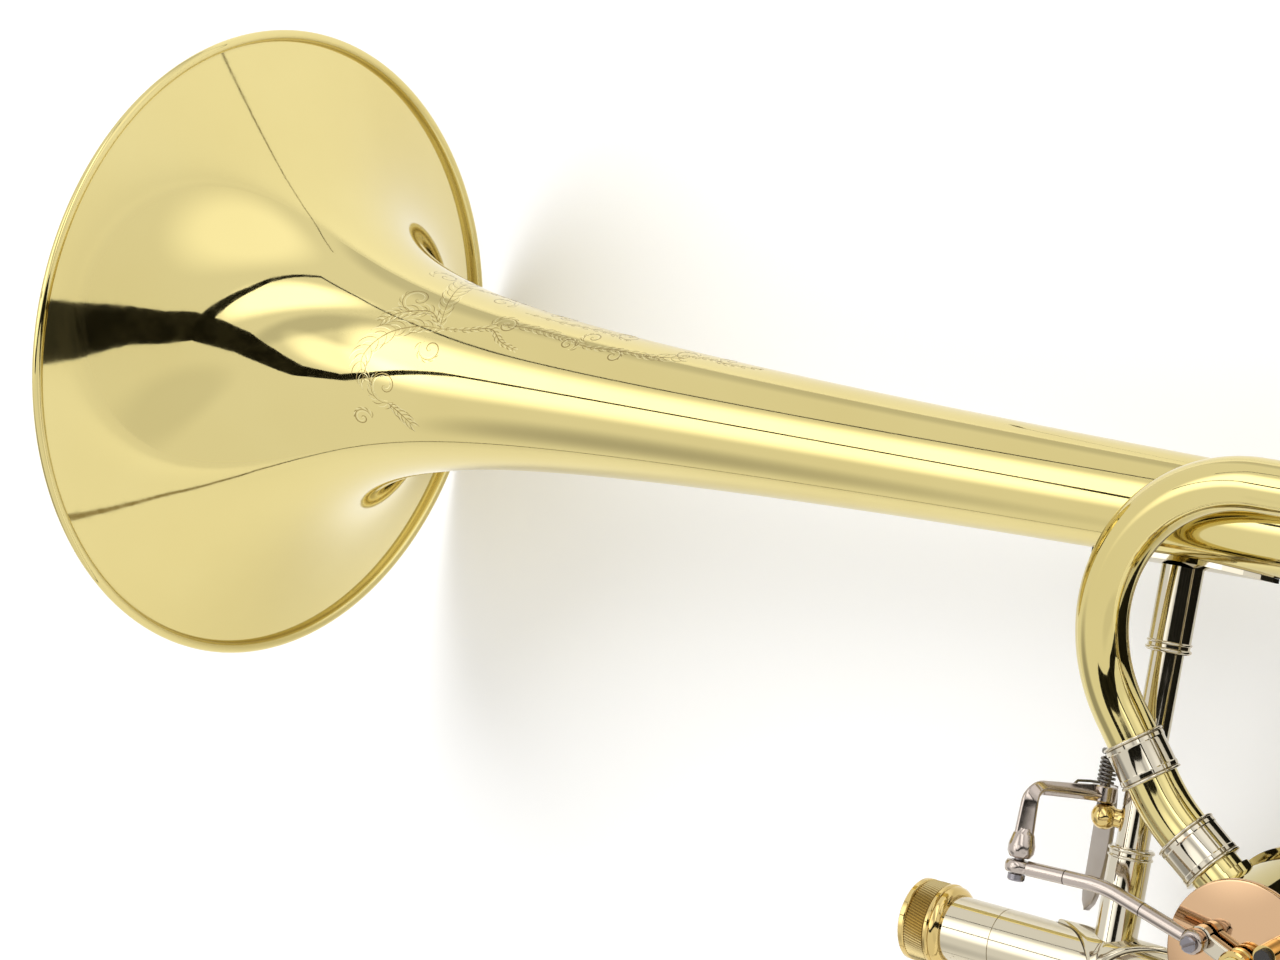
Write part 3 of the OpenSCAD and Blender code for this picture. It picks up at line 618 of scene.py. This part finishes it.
def makeSaddle():
    base = receiver["radius"]

    def onReceiver(t, part, lift):
        c = math.cos(t)
        n = math.sin(t)
        size = 1 / ((abs(c) ** saddle["power"] + abs(n) ** saddle["power"]) ** (1 / saddle["power"]))
        x = brace["x"] + saddle["halfLength"] * size * c * part
        angle = saddle["halfArc"] * size * n * part / base
        radius = base + lift
        return Vector((x, -layout["spread"] + radius * math.cos(angle), radius * math.sin(angle)))

    shape = bmesh.new()
    stations = [(0.02, saddle["thick"]), (0.3, saddle["thick"]), (0.6, saddle["thick"]),
                (0.85, saddle["thick"]),
                (0.95, saddle["thick"] * 0.93), (0.99, saddle["thick"] * 0.7), (1.0, 0.02)]
    rows = []
    for part, lift in stations:
        rows.append([shape.verts.new(onReceiver(2 * math.pi * k / saddle["around"], part, lift))
                     for k in range(saddle["around"])])
    for first, second in zip(rows, rows[1:]):
        for k in range(saddle["around"]):
            after = (k + 1) % saddle["around"]
            shape.faces.new((first[k], first[after], second[after], second[k]))
    shape.faces.new(rows[0])
    addPiece("receiverSaddle", shape, design, "nickel_silver", "bell_section", ("brace_receiver_flange",),
             finish="worn", sharp=60)
    # painted shade: a near-black strip round the saddle's edge stands in for the shade in the crevice along its
    # solder joint
    seam = bmesh.new()
    inner = []
    outer = []
    for k in range(saddle["around"]):
        t = 2 * math.pi * k / saddle["around"]
        inner.append(seam.verts.new(onReceiver(t, 0.99, 0.14)))
        outer.append(seam.verts.new(onReceiver(t, 1.035, 0.03)))
    for k in range(saddle["around"]):
        after = (k + 1) % saddle["around"]
        seam.faces.new((inner[k], inner[after], outer[after], outer[k]))
    addPiece("saddleSolderShade", seam, design, "nickel_silver", "bell_section", finish="groove", sharp=80)


makeBrace()
makeSaddle()
print("receiver and brace made")


# F loop
loop = {"radius": 7.3, "wall": 0.9}
neck = {"angle": 140, "turn": 45, "bendRadius": 50, "port": 21.85, "ferrule": 12.5}
crook = {"x": 393.2, "rise": 99, "radius": 44.5, "end": 439}


def neckNumbers():
    angle = math.radians(neck["angle"])
    meet = Vector((layout["valve"][0] + neck["turn"] * math.cos(angle),
                   layout["valve"][1] + neck["turn"] * math.sin(angle)))
    toCrook = Vector((crook["x"], crook["rise"])) - meet
    distance = toCrook.length
    heading = math.atan2(toCrook.y, toCrook.x) + math.asin(crook["radius"] / distance)
    bend = angle - heading
    return {"meet": meet, "heading": heading, "bend": bend, "cut": neck["bendRadius"] * math.tan(bend / 2),
            "run": math.sqrt(distance ** 2 - crook["radius"] ** 2), "angle": angle}


neckPlan = neckNumbers()


def makeNeck():
    plan = neckPlan
    towards = Vector((math.cos(plan["angle"]), math.sin(plan["angle"])))
    onward = Vector((math.cos(plan["heading"]), math.sin(plan["heading"])))
    start = Vector(layout["valve"]) + towards * neck["port"]
    bendStart = plan["meet"] - towards * plan["cut"]
    bendEnd = plan["meet"] + onward * plan["cut"]
    centre = bendStart + Vector((towards.y, -towards.x)) * neck["bendRadius"]
    split = plan["cut"] + 2.5 + neck["ferrule"] / 2
    begin = math.degrees(plan["angle"]) + 90
    bend = [point for point in arc(centre, neck["bendRadius"], begin, begin - math.degrees(plan["bend"]), 2)]
    splitPoint = plan["meet"] + onward * split
    path = [(*start, 0)] + run((*start, 0), (*bendStart, 0)) + bend + run((*bendEnd, 0), (*splitPoint, 0)) + [
        (*splitPoint, 0)]
    hollowTube("gooseneckTube", path, loop["radius"], loop["wall"], wrap, "lacquered_brass", "bell_section",
               ("gooseneck",))
    tangent = plan["meet"] + onward * plan["run"]
    first = splitPoint + onward * 0.03
    top = crook["rise"] + crook["radius"]
    startAngle = math.degrees(math.atan2(tangent.y - crook["rise"], tangent.x - crook["x"])) % 360
    turn = arc((crook["x"], crook["rise"]), crook["radius"], startAngle, 90, 2)
    path = [(*first, 0)] + run((*first, 0), (*tangent, 0)) + turn + run((crook["x"], top, 0),
                                                                       (crook["end"], top, 0)) + [
        (crook["end"], top, 0)]
    hollowTube("frontCrookTube", path, loop["radius"], loop["wall"], wrap, "lacquered_brass", "bell_section",
               ("front_crook",))


def ferruleProfile(length, radius, wall):
    outer = radius + wall
    bead = 0.42
    profile = [(0, radius), (0.1, outer - 0.15)]
    for middle in (0.55, length - 0.55):
        for k in range(9):
            angle = math.pi * k / 8
            profile.append((middle - bead * math.cos(angle), outer + bead * math.sin(angle)))
        if middle < length / 2:
            profile += [(1.05, outer - 0.08), (1.25, outer + 0.18), (2.3, outer + 0.22), (2.6, outer + 0.04),
                        (3.0, outer), (length - 3.0, outer), (length - 2.6, outer + 0.04),
                        (length - 2.3, outer + 0.22), (length - 1.25, outer + 0.18),
                        (length - 1.05, outer - 0.08)]
    return profile + [(length - 0.1, outer - 0.15), (length, radius)]


def makeFerrules():
    plan = neckPlan
    low = port(neck["angle"], neck["turn"] - plan["cut"] - neck["ferrule"])
    addPiece("neckFerruleLow", lathe(ferruleProfile(neck["ferrule"], 7.33, 1.3), 72), low, "nickel_silver",
             "bell_section", ("neck_ferrule_low",), sharp=24)
    high = wrap @ moved((*plan["meet"], 0)) @ spun(
        plan["heading"], "Z") @ spun(quarter, "Y") @ moved((0, 0, plan["cut"] + 2.5))
    addPiece("neckFerruleHigh", lathe(ferruleProfile(neck["ferrule"], 7.33, 0.95), 72), high, "nickel_silver",
             "bell_section", ("neck_ferrule_high",), sharp=24)


makeNeck()
makeFerrules()
print("loop bent")


# Slides' bows and the loop's return
def makeBows():
    half = layout["spread"] / 2
    path = [(520 + half * math.cos(math.radians(k)), -half + half * math.sin(math.radians(k)), 0)
            for k in range(-90, 91, 3)]
    hollowTube("mainBow", path, 10.5, 0.9, design, "lacquered_brass", "main_tuning_slide", ("slide_bow",))
    path = [(527 + 36 * math.cos(math.radians(k)), 107.5 + 36 * math.sin(math.radians(k)), 0)
            for k in range(-90, 91, 3)]
    hollowTube("loopBow", path, 7.3, 0.9, wrap, "lacquered_brass", "loop_tuning_slide", ("loop_slide_bow",))


makeBows()

# Thumb lever
lever = {"hinge": (348, -82, 3), "lean": 15.5, "reach": 28, "eye": -104}
hinge = design @ moved((lever["hinge"][0], 0, lever["hinge"][2])) @ spun(-math.radians(lever["lean"]), "Y")


def makeLever():
    y = lever["hinge"][1]
    reach = lever["reach"]
    corner = 4.2
    path = [(0, y, 3.0)] + run((0, y, 3.0), (0, y, reach - corner), 6)
    for k in range(10):
        angle = quarter * k / 9
        path.append((0, y - corner + corner * math.cos(angle), reach - corner + corner * math.sin(angle)))
    path += run((0, y - corner, reach), (0, y - 11.5, reach),
                5) + [(0, y - 11.5, reach), (0, y - 13.5, reach)]

    def bar(part):
        wide = 4.4 - 0.8 * math.sin(math.pi * min(1, part * 1.6)) + 0.9 * max(0, (part - 0.55) / 0.45)
        return roundedBox(wide, 2.9 + 0.3 * part, 0.8)

    shape = sweep(path, bar)
    arm = addPiece("leverArm", shape, hinge, "lever_nickel", "thumb_lever", ("thumb_lever",), sharp=40)
    hub = [(-2.3, 1.55), (-2.3, 3.3), (-1.9, 3.7), (1.9, 3.7), (2.3, 3.3), (2.3, 1.55)]
    addPiece("leverHub", lathe(hub, 48), upward(lever["hinge"][0], y, lever["hinge"][2]), "lever_nickel",
             "thumb_lever")
    boss = [(-7.7, 0), (-7.7, 2.75), (-7.5, 2.95), (-6.5, 3.55), (-6.2, 3.65), (-4.2, 3.7), (-3.9, 3.6),
            (-1.3, 2.95), (-0.9, 2.7), (-0.3, 2.2), (0.4, 2.0), (0.4, 0)]
    addPiece("leverBoss", lathe(boss, 48, False), hinge @ moved((0, y - 11.8, reach)) @ spun(
        -quarter, "X"), "lever_nickel", "thumb_lever")
    return arm


paddle = {"turn": 33}


def turn2d(a, b, angle):
    angle = math.radians(angle)
    return a * math.cos(angle) + b * math.sin(angle), b * math.cos(angle) - a * math.sin(angle)


def makePaddle():
    place = design @ moved((lever["hinge"][0], 0, lever["hinge"][2])) @ spun(math.radians(205), "Y")
    y = lever["hinge"][1]
    shape = bmesh.new()
    rows = []
    for k in range(17):
        part = k / 16
        half = 5.1 * math.sqrt(max(0.02, 1 - max(0, (part - 0.78) / 0.22) ** 2))
        half *= 0.8 + 0.2 * math.sin(math.pi * min(1, part * 1.2))
        bow = 0.9 * math.sin(math.pi * part)
        ring = [(-1.1 - bow, 16.5 - half + 0.4), (-0.4 - bow, 16.5 - half), (0.5 - bow, 16.5 - half + 0.3),
                (0.8 - bow, 16.5), (0.5 - bow, 16.5 + half - 0.3), (-0.4 - bow, 16.5 + half),
                (-1.1 - bow, 16.5 + half - 0.4), (-1.3 - bow, 16.5)]
        turned = [turn2d(a + 0.4, b - 16.5, paddle["turn"]) for a, b in ring]
        rows.append([shape.verts.new((a - 0.4, y + 1.5 - 36.5 * part, b + 16.5)) for a, b in turned])
    for first, second in zip(rows, rows[1:]):
        for k in range(8):
            shape.faces.new((first[k], first[(k + 1) % 8], second[(k + 1) % 8], second[k]))
    shape.faces.new(rows[0])
    shape.faces.new(rows[-1])
    addPiece("leverPaddle", shape, place, "lever_nickel", "thumb_lever", finish="paddle", sharp=50)
    stalk = sweep([(0, y, 2.5), (0, y, 8), (-0.3, y - 0.5, 14), (-0.4, y - 1, 18)],
                  roundedBox(3.6, 2.3, 0.7))
    addPiece("leverStalk", stalk, place, "lever_nickel", "thumb_lever", sharp=40)


def makeSpring():
    x, y, z = lever["hinge"]
    path = []
    turns = 6
    for k in range(turns * 20 + 1):
        angle = 2 * math.pi * k / 20
        path.append((x + 2.25 * math.cos(angle), y + 3.3 + 7.0 * k / (turns * 20),
                     z + 2.25 * math.sin(angle)))
    addPiece("springCoil", sweep(path, circle(0.42, 8)), design, "dark_steel", "bell_section",
             ("return_spring",), sharp=60)
    hook = [(0, y + 3.0, 2.2), (-1.5, y + 2.9, 4.5), (-2.4, y + 2.6, 8.5), (-2.5, y + 1.2, 10),
            (-2.6, y - 1.9, 10.3)]
    smooth = []
    for first, second in zip(hook, hook[1:]):
        smooth += [first] + run(first, second, 4)
    addPiece("springHook", sweep(smooth + [hook[-1]], circle(0.4, 10)), hinge, "dark_steel", "thumb_lever")
    pin = [(-7.8, 0), (-7.8, 1.45), (11.0, 1.45), (11.0, 2.3), (11.3, 2.6), (12.3, 2.6), (12.6, 2.2), (12.6, 0)]
    addPiece("hingeScrew", lathe(pin, 40, False), upward(x, y, z), "dark_steel", "bell_section",
             ("hinge_pin",))
    ball = [(3.8 * math.sin(math.radians(k)), 3.8 * math.cos(math.radians(k))) for k in range(-90, 91, 6)]
    addPiece("hingeBall", lathe(ball, 40, False), upward(x + 1.5, y - 6, z), "gold_brass", "bell_section",
             ("hinge_ball",))
    stub = [(0, 0), (0, 2.9), (3.0, 2.7), (5.2, 2.6), (6.6, 2.9), (7.8, 3.5), (7.8, 0)]
    addPiece("hingeStub", lathe(stub, 32, False), design @ moved((x, y - 6, z)) @ spun(
        math.radians(107), "Y"), "gold_brass", "bell_section")


makeLever()
makePaddle()
makeSpring()
print("lever made")


# Link rod
tip = Vector((lever["hinge"][0] - lever["reach"] * math.sin(math.radians(lever["lean"])), lever["eye"],
              lever["hinge"][2] + lever["reach"] * math.cos(math.radians(lever["lean"]))))
rod = {"radius": 2.05, "bend": (366, -103.6, 28), "eyeRadius": 3.5, "height": 4.6, "bottom": 22.93}
stopArm = {"reach": 12, "angle": 156, "height": 3, "bottom": 19.63}


def rodEnd(height):
    angle = math.radians(stopArm["angle"])
    local = Vector((layout["valve"][0] + stopArm["reach"] * math.cos(angle),
                    layout["valve"][1] + stopArm["reach"] * math.sin(angle), height))
    return design.inverted() @ (wrap @ local)


def eyeProfile(radius, hole, height):
    half = height / 2
    profile = [(-half, hole), (-half, radius - 0.9)]
    profile += [(half * math.sin(math.radians(k)), radius - 0.9 + 0.9 * math.cos(math.radians(k)))
                for k in range(-80, 81, 16)]
    return profile + [(half, radius - 0.9), (half, hole)]


def makeRod():
    end = rodEnd(rod["bottom"] + rod["height"] / 2)
    bend = Vector(rod["bend"])
    first = (bend - tip).normalized()
    second = (end - bend).normalized()
    path = [tip + first * 3.0]
    path += [path[0].lerp(bend - first * 5, k / 8) for k in range(1, 8)]
    for k in range(11):
        t = k / 10
        path.append((bend - first * 5) * (1 - t) ** 2 + bend * 2 * t * (1 - t) + (bend + second * 5) * t ** 2)
    path += [(bend + second * 5).lerp(end - second * 3.0, k / 8) for k in range(1, 9)]
    addPiece("linkRodBar", sweep(path, circle(rod["radius"], 32)), design, "lever_nickel", "link_rod",
             ("link_rod",))
    # painted shade: near-black rings at the rod's two seams stand in for the shade in their grooves
    for name, spot, way in (("nearSeam", tip + first * 14.2, first),
                            ("farSeam", bend + second * 13.5, second)):
        ring = lathe([(-0.14, rod["radius"] - 0.1), (-0.14, rod["radius"] + 0.025),
                      (0.14, rod["radius"] + 0.025),
                      (0.14, rod["radius"] - 0.1)], 32)
        place = design @ moved(spot) @ way.to_track_quat("Z", "Y").to_matrix().to_4x4()
        addPiece("linkRod" + name.title(), ring, place, "lever_nickel", "link_rod", finish="groove")
    addPiece("linkNearEye", lathe(eyeProfile(3.7, 2.0, 3.4), 48), upward(*tip), "lever_nickel", "link_rod")
    eyePlace = wrap @ moved((*rodEndPlan(), rod["bottom"] + rod["height"] / 2))
    addPiece("linkFarEye", lathe(eyeProfile(rod["eyeRadius"], 1.65, rod["height"]), 48), eyePlace,
             "lever_nickel", "link_rod")


def rodEndPlan():
    angle = math.radians(stopArm["angle"])
    return (layout["valve"][0] + stopArm["reach"] * math.cos(angle),
            layout["valve"][1] + stopArm["reach"] * math.sin(angle))


def makeScrews():
    top = rod["bottom"] + rod["height"]
    shank = lathe([(0, 0), (0, 1.5), (rod["height"] + 0.05, 1.5), (rod["height"] + 0.05, 0)], 24, False)
    plan = rodEndPlan()
    addPiece("linkScrewShank", shank, wrap @ moved((*plan, rod["bottom"])), "dark_steel", "link_rod",
             ("link_screw",), finish="screw")
    addPiece("linkScrewHead", slottedHead(2.3, 1.6), wrap @ moved((*plan, top + 0.04)) @ spun(
        0.5, "Z"), "dark_steel", "link_rod", finish="screw")
    stud = lathe([(-9.8, 0), (-9.8, 1.4), (-4.83, 1.4), (-4.83, 0)], 32, False)
    y = lever["hinge"][1] - 14.7
    addPiece("leverStudPin", stud, upward(tip.x, y, tip.z), "dark_steel", "thumb_lever", ("lever_stud",),
             finish="screw")
    ball = [(2.45 * math.sin(math.radians(k)), 2.45 * math.cos(math.radians(k))) for k in range(-53, 54, 6)]
    addPiece("leverStudBall", lathe([(ball[0][0], 0)] + ball + [(ball[-1][0], 0)], 32, False), upward(*tip),
             "dark_steel", "thumb_lever", finish="screw")
    head = slottedHead(2.4, 1.8)
    addPiece("leverStudHead", head, design @ moved((tip.x, y - 9.5, tip.z)) @ spun(
        quarter, "X"), "dark_steel", "thumb_lever", finish="screw")


def slottedHead(radius, height):
    shape = bmesh.new()
    for side in (-1, 1):
        points = [(radius * math.cos(a), radius * math.sin(a)) for a in
                  [math.radians(10 + 160 * k / 16) for k in range(17)]]
        low = [shape.verts.new((x * 1.0, y * side, 0)) for x, y in points]
        high = [shape.verts.new((x * 1.0, y * side, height * 0.75)) for x, y in points]
        top = [shape.verts.new((x * 0.8, (y * 0.8 + 0.06) * side, height)) for x, y in points]
        for first, second in ((low, high), (high, top)):
            for k in range(17):
                after = (k + 1) % 17
                shape.faces.new((first[k], first[after], second[after], second[k]))
        shape.faces.new(low)
        shape.faces.new(top)
    core = lathe([(0, 0), (0, radius * 0.97), (height * 0.45, radius * 0.97), (height * 0.45, 0)], 32, False)
    mesh = bpy.data.meshes.new("core")
    core.to_mesh(mesh)
    shape.from_mesh(mesh)
    core.free()
    bpy.data.meshes.remove(mesh)
    return shape


makeRod()
makeScrews()
print("link made")


# Valve cap and its stop
cap = {"radius": 22.3, "bottom": 17.03, "height": 1.7, "hole": 3.6}


def makeCap():
    r = cap["radius"]
    top = cap["height"]
    profile = [(0, cap["hole"]), (0, r - 0.3), (0.25, r), (top - 0.45, r), (top - 0.1, r - 0.18),
               (top, r - 0.6),
               (top, cap["hole"])]
    addPiece("capDisc", lathe(profile, 128), valve @ moved((0, 0, cap["bottom"])), "red_brass",
             "bell_section", ("valve_cap_disc",))


def makeStop():
    base = valve @ moved((0, 0, stopArm["bottom"]))
    height = stopArm["height"]
    hub = [(0, 3.05), (0, 4.2), (0.3, 4.5), (1.3, 4.5), (1.5, 4.15), (2.9, 4.15), (3.1, 4.5), (4.2, 4.5),
           (4.6, 4.1), (4.6, 3.05)]
    addPiece("stopHub", lathe(hub, 48), base, "nickel_silver", "rotor", ("stop_arm",), finish="gold_brass")
    for name, angle, reach, width in (("stopLimb", stopArm["angle"], stopArm["reach"], 5.0),
                                      ("stopLobe", 0, 13.2, 4.2)):
        shape = sweep([(3.6, 0, height / 2), (8, 0, height / 2), (reach, 0, height / 2)],
                      roundedBox(width, height, 0.7))
        addPiece(name, shape, base @ spun(math.radians(angle), "Z"), "nickel_silver", "rotor")
    seat = [(0, 0), (0, 2.9), (0.4, 3.35), (height - 0.4, 3.35), (height, 3.0), (height, 0)]
    plan = rodEndPlan()
    addPiece("stopSeat", lathe(seat, 48, False), wrap @ moved((*plan, stopArm["bottom"])),
             "nickel_silver", "rotor")


makeCap()
makeStop()
print("valve dressed")


# Stage
stageLook = {"floorSize": 9.0, "floorColour": 0.9, "glow": 0.18, "farGlow": 0.46, "worldFill": 0.6}


def makeFloor():
    mesh = bpy.data.meshes.new("floor")
    shape = bmesh.new()
    bmesh.ops.create_grid(shape, x_segments=1, y_segments=1, size=stageLook["floorSize"])
    bmesh.ops.translate(shape, verts=shape.verts, vec=(0, 0, cadBounds[0][2]))
    shape.to_mesh(mesh)
    shape.free()
    floor = bpy.data.objects.new("floor", mesh)
    bpy.context.scene.collection.objects.link(floor)
    material, tree, shader = newMaterial("paperFloor")
    value = stageLook["floorColour"]
    shader.inputs["Base Color"].default_value = (value, value, value, 1)
    shader.inputs["Roughness"].default_value = 0.9
    shader.inputs["Specular IOR Level"].default_value = 0.0
    ray = addNode(tree, "ShaderNodeLightPath")
    shader.inputs["Emission Color"].default_value = (1, 1, 1, 1)
    seen = addNode(tree, "ShaderNodeMath", [(0, ray.outputs["Is Camera Ray"]),
                                            (1, ray.outputs["Is Glossy Ray"])],
                   operation="MAXIMUM")
    place = addNode(tree, "ShaderNodeTexCoord").outputs["Object"]
    away = addNode(tree, "ShaderNodeVectorMath", [(0, place)], operation="LENGTH")
    lift = remap(tree, away.outputs["Value"], 0.6, 3.4, stageLook["glow"], stageLook["farGlow"])
    strength = addNode(tree, "ShaderNodeMath", [(0, seen.outputs[0]), (1, lift)], operation="MULTIPLY")
    tree.links.new(strength.outputs[0], shader.inputs["Emission Strength"])
    mesh.materials.append(material)


def makeWorld():
    world = bpy.data.worlds.new("studio")
    bpy.context.scene.world = world
    world.use_nodes = True
    tree = world.node_tree
    back = tree.nodes["Background"]
    back.inputs["Color"].default_value = (1, 1, 1, 1)
    ray = addNode(tree, "ShaderNodeLightPath")
    seen = addNode(tree, "ShaderNodeMath", [(0, ray.outputs["Is Camera Ray"]),
                                            (1, ray.outputs["Is Glossy Ray"])],
                   operation="MAXIMUM")
    clear = addNode(tree, "ShaderNodeMath", [(0, seen.outputs[0]), (1, ray.outputs["Is Transmission Ray"])],
                    operation="MAXIMUM")
    tree.links.new(remap(tree, clear.outputs[0], 0, 1, stageLook["worldFill"], 1.0), back.inputs["Strength"])
    world.cycles.sampling_method = "NONE"


def makeLamp(name, place, aim, size, power):
    data = bpy.data.lights.new(name, "AREA")
    data.size = size
    data.energy = power
    lamp = bpy.data.objects.new(name, data)
    bpy.context.scene.collection.objects.link(lamp)
    turn = (aim - place).to_track_quat("-Z", "Y").to_matrix().to_4x4()
    lamp.matrix_world = moved(place) @ turn
    lamp.visible_glossy = False
    return lamp


# Dark cards that only reflections see: the gap the lens looks through and the seams of the tent round the table
cards = {
    "centre": (-0.18, 0.12, 0.08), "away": 5.0,
    "gap": [  # bearing, height and half width, in degrees
        (-7, -26, 6), (-5, -10, 5.5), (-4, 0, 5), (-3, 10, 5), (-3, 20, 5.5), (-1, 30, 6), (-3, 40, 7),
        (-8, 50, 7),
        (-24, 59, 6), (-54, 64, 4.5), (-90, 67.5, 2.8), (-112, 73, 1.9), (-148, 76, 1.5), (-172, 74, 1.2),
        (-177, 68, 1.0), (-178, 58, 0.9),
    ],
    "rightSeam": [
        (4, 34, 2.6), (20, 39, 1.8), (35, 41, 1.3), (50, 39.5, 1.0), (65, 36.5, 0.8), (80, 32, 0.6),
        (95, 37, 0.5), (113, 44, 0.55), (124, 49.5, 0.55), (140, 52, 0.5),
    ],
    "farSeam": [(56, -37, 0.35), (64, -34, 0.35), (70, -26, 0.35), (76, -12, 0.3), (82, 0, 0.3),
                (88, 10, 0.25)],
    "leftSeam": [(-130, 4, 0.4), (-114, 0.4, 0.4), (-97, -3.4, 0.4), (-80, -6, 0.45), (-67, -9, 0.5),
                 (-55, -12, 0.6),
                 (-44, -17, 0.7), (-32, -19, 0.7)],
}


def cardMaterial(name, colour):
    material, tree, shader = newMaterial(name)
    grain = addNode(tree, "ShaderNodeTexNoise",
                    [("Vector", addNode(tree, "ShaderNodeTexCoord").outputs["Object"])],
                    Scale=1.6, Detail=5.0)
    deep = tuple(value * 0.4 for value in colour)
    tree.links.new(blendColour(tree, remap(tree, grain.outputs["Fac"], 0.4, 0.6, 0, 1), deep, colour),
                   shader.inputs["Base Color"])
    shader.inputs["Roughness"].default_value = 0.9
    shader.inputs["Specular IOR Level"].default_value = 0.1
    return material


def direction(bearing, height):
    b = math.radians(bearing)
    h = math.radians(height)
    return Vector((math.cos(h) * math.cos(b), math.cos(h) * math.sin(b), math.sin(h)))


def stageCard(name, shape, material):
    mesh = bpy.data.meshes.new(name)
    shape.to_mesh(mesh)
    shape.free()
    mesh.materials.append(material)
    card = bpy.data.objects.new(name, mesh)
    bpy.context.scene.collection.objects.link(card)
    card.visible_camera = False
    card.visible_diffuse = False
    card.visible_shadow = False
    card.visible_transmission = False
    return card


# Soft patches of the tent: a lit one adds to what is behind it and a dim one takes from it
patches = [  # name, bearing, height, half width, half height, strength
    ("ceilingPatch", 168, 74, 34, 20, 1.3), ("rightPatch", 52, 49, 40, 11, 1.25),
    ("zenithPatch", -60, 84, 26, 14, 0.7),
    ("rightWallPatch", 50, 16, 34, 20, 0.35), ("nearDim", -136, 22, 24, 24, -0.55),
    ("highDim", 45, 68, 40, 8, -0.3),
    ("leftDim", -30, 16, 14, 30, -0.12), ("backDim", 112, -2, 26, 20, -0.25),
]


def patchMaterial(name, strength):
    material = bpy.data.materials.new(name)
    material.use_nodes = True
    tree = material.node_tree
    tree.nodes.remove(tree.nodes["Principled BSDF"])
    output = tree.nodes["Material Output"]
    place = addNode(tree, "ShaderNodeTexCoord").outputs["Object"]
    fall = addNode(tree, "ShaderNodeTexGradient", [("Vector", place)], gradient_type="SPHERICAL")
    amount = addNode(tree, "ShaderNodeMapRange", [("Value", fall.outputs["Fac"])],
                     interpolation_type="SMOOTHSTEP")
    amount.inputs["From Max"].default_value = 0.6
    amount.inputs["To Max"].default_value = abs(strength)
    clear = addNode(tree, "ShaderNodeBsdfTransparent")
    if strength > 0:
        glow = addNode(tree, "ShaderNodeEmission", [("Strength", amount.outputs["Result"])])
        both = addNode(tree, "ShaderNodeAddShader", [(0, clear.outputs[0]), (1, glow.outputs[0])])
        tree.links.new(both.outputs[0], output.inputs["Surface"])
    else:
        tint = blendColour(tree, amount.outputs["Result"], (1.0, 1.0, 1.0), (0.0, 0.0, 0.0))
        tree.links.new(tint, clear.inputs["Color"])
        tree.links.new(clear.outputs[0], output.inputs["Surface"])
    return material


def makePatches():
    for order, (name, bearing, height, wide, high, strength) in enumerate(patches):
        way = direction(bearing, height)
        away = cards["away"] * (1.3 + 0.05 * order)
        shape = bmesh.new()
        bmesh.ops.create_grid(shape, x_segments=2, y_segments=2, size=1)
        card = stageCard(name, shape, patchMaterial(name, strength))
        size = Matrix.Diagonal((math.tan(math.radians(wide)) * away, math.tan(math.radians(high)) * away, 1, 1))
        level = Vector((-way.y, way.x, 0)).normalized()
        turn = Matrix((level, way.cross(level), way)).transposed().to_4x4()
        card.matrix_world = moved(Vector(cards["centre"]) + way * away) @ turn @ size


def makeCard(name, path, material, away):
    centre = Vector(cards["centre"])
    floorZ = cadBounds[0][2] + 0.002
    shape = bmesh.new()

    dense = []
    for first, second in zip(path, path[1:]):
        for k in range(6):
            part = k / 6
            a, b = direction(*first[:2]), direction(*second[:2])
            dense.append((a.lerp(b, part).normalized(), first[2] + (second[2] - first[2]) * part))
    dense.append((direction(*path[-1][:2]), path[-1][2]))
    rows = []
    for k, (way, half) in enumerate(dense):
        onward = dense[min(k + 1, len(dense) - 1)][0] - dense[max(k - 1, 0)][0]
        side = way.cross(onward).normalized() * math.tan(math.radians(half))
        row = []
        for sign in (-1, 1):
            ray = (way + side * sign).normalized()
            distance = away
            if ray.z < -0.001:
                distance = min(away, (floorZ - centre.z) / ray.z)
            row.append(shape.verts.new(centre + ray * distance))
        rows.append(row)
    for first, second in zip(rows, rows[1:]):
        shape.faces.new((first[0], first[1], second[1], second[0]))
    stageCard(name, shape, material)


makeFloor()
makeWorld()
black = cardMaterial("tentGap", (0.03, 0.028, 0.02))
brown = cardMaterial("tentSeam", (0.30, 0.25, 0.15))
makeCard("tentGap", cards["gap"], black, cards["away"])
makeCard("tentRightSeam", cards["rightSeam"], black, cards["away"] * 1.05)
makeCard("tentLeftSeam", cards["leftSeam"], brown, cards["away"] * 1.1)
makeCard("tentFarSeam", cards["farSeam"], brown, cards["away"] * 1.15)
makePatches()
middle = (Vector(cadBounds[0]) + Vector(cadBounds[1])) / 2
makeLamp("keyLamp", middle + Vector((-0.9, 0.9, 1.9)), middle, 1.8, 27)
makeLamp("fillLamp", middle + Vector((1.0, -1.3, 1.6)), middle, 1.8, 14)
print("stage set")

bpy.context.scene.view_settings.view_transform = "Standard"
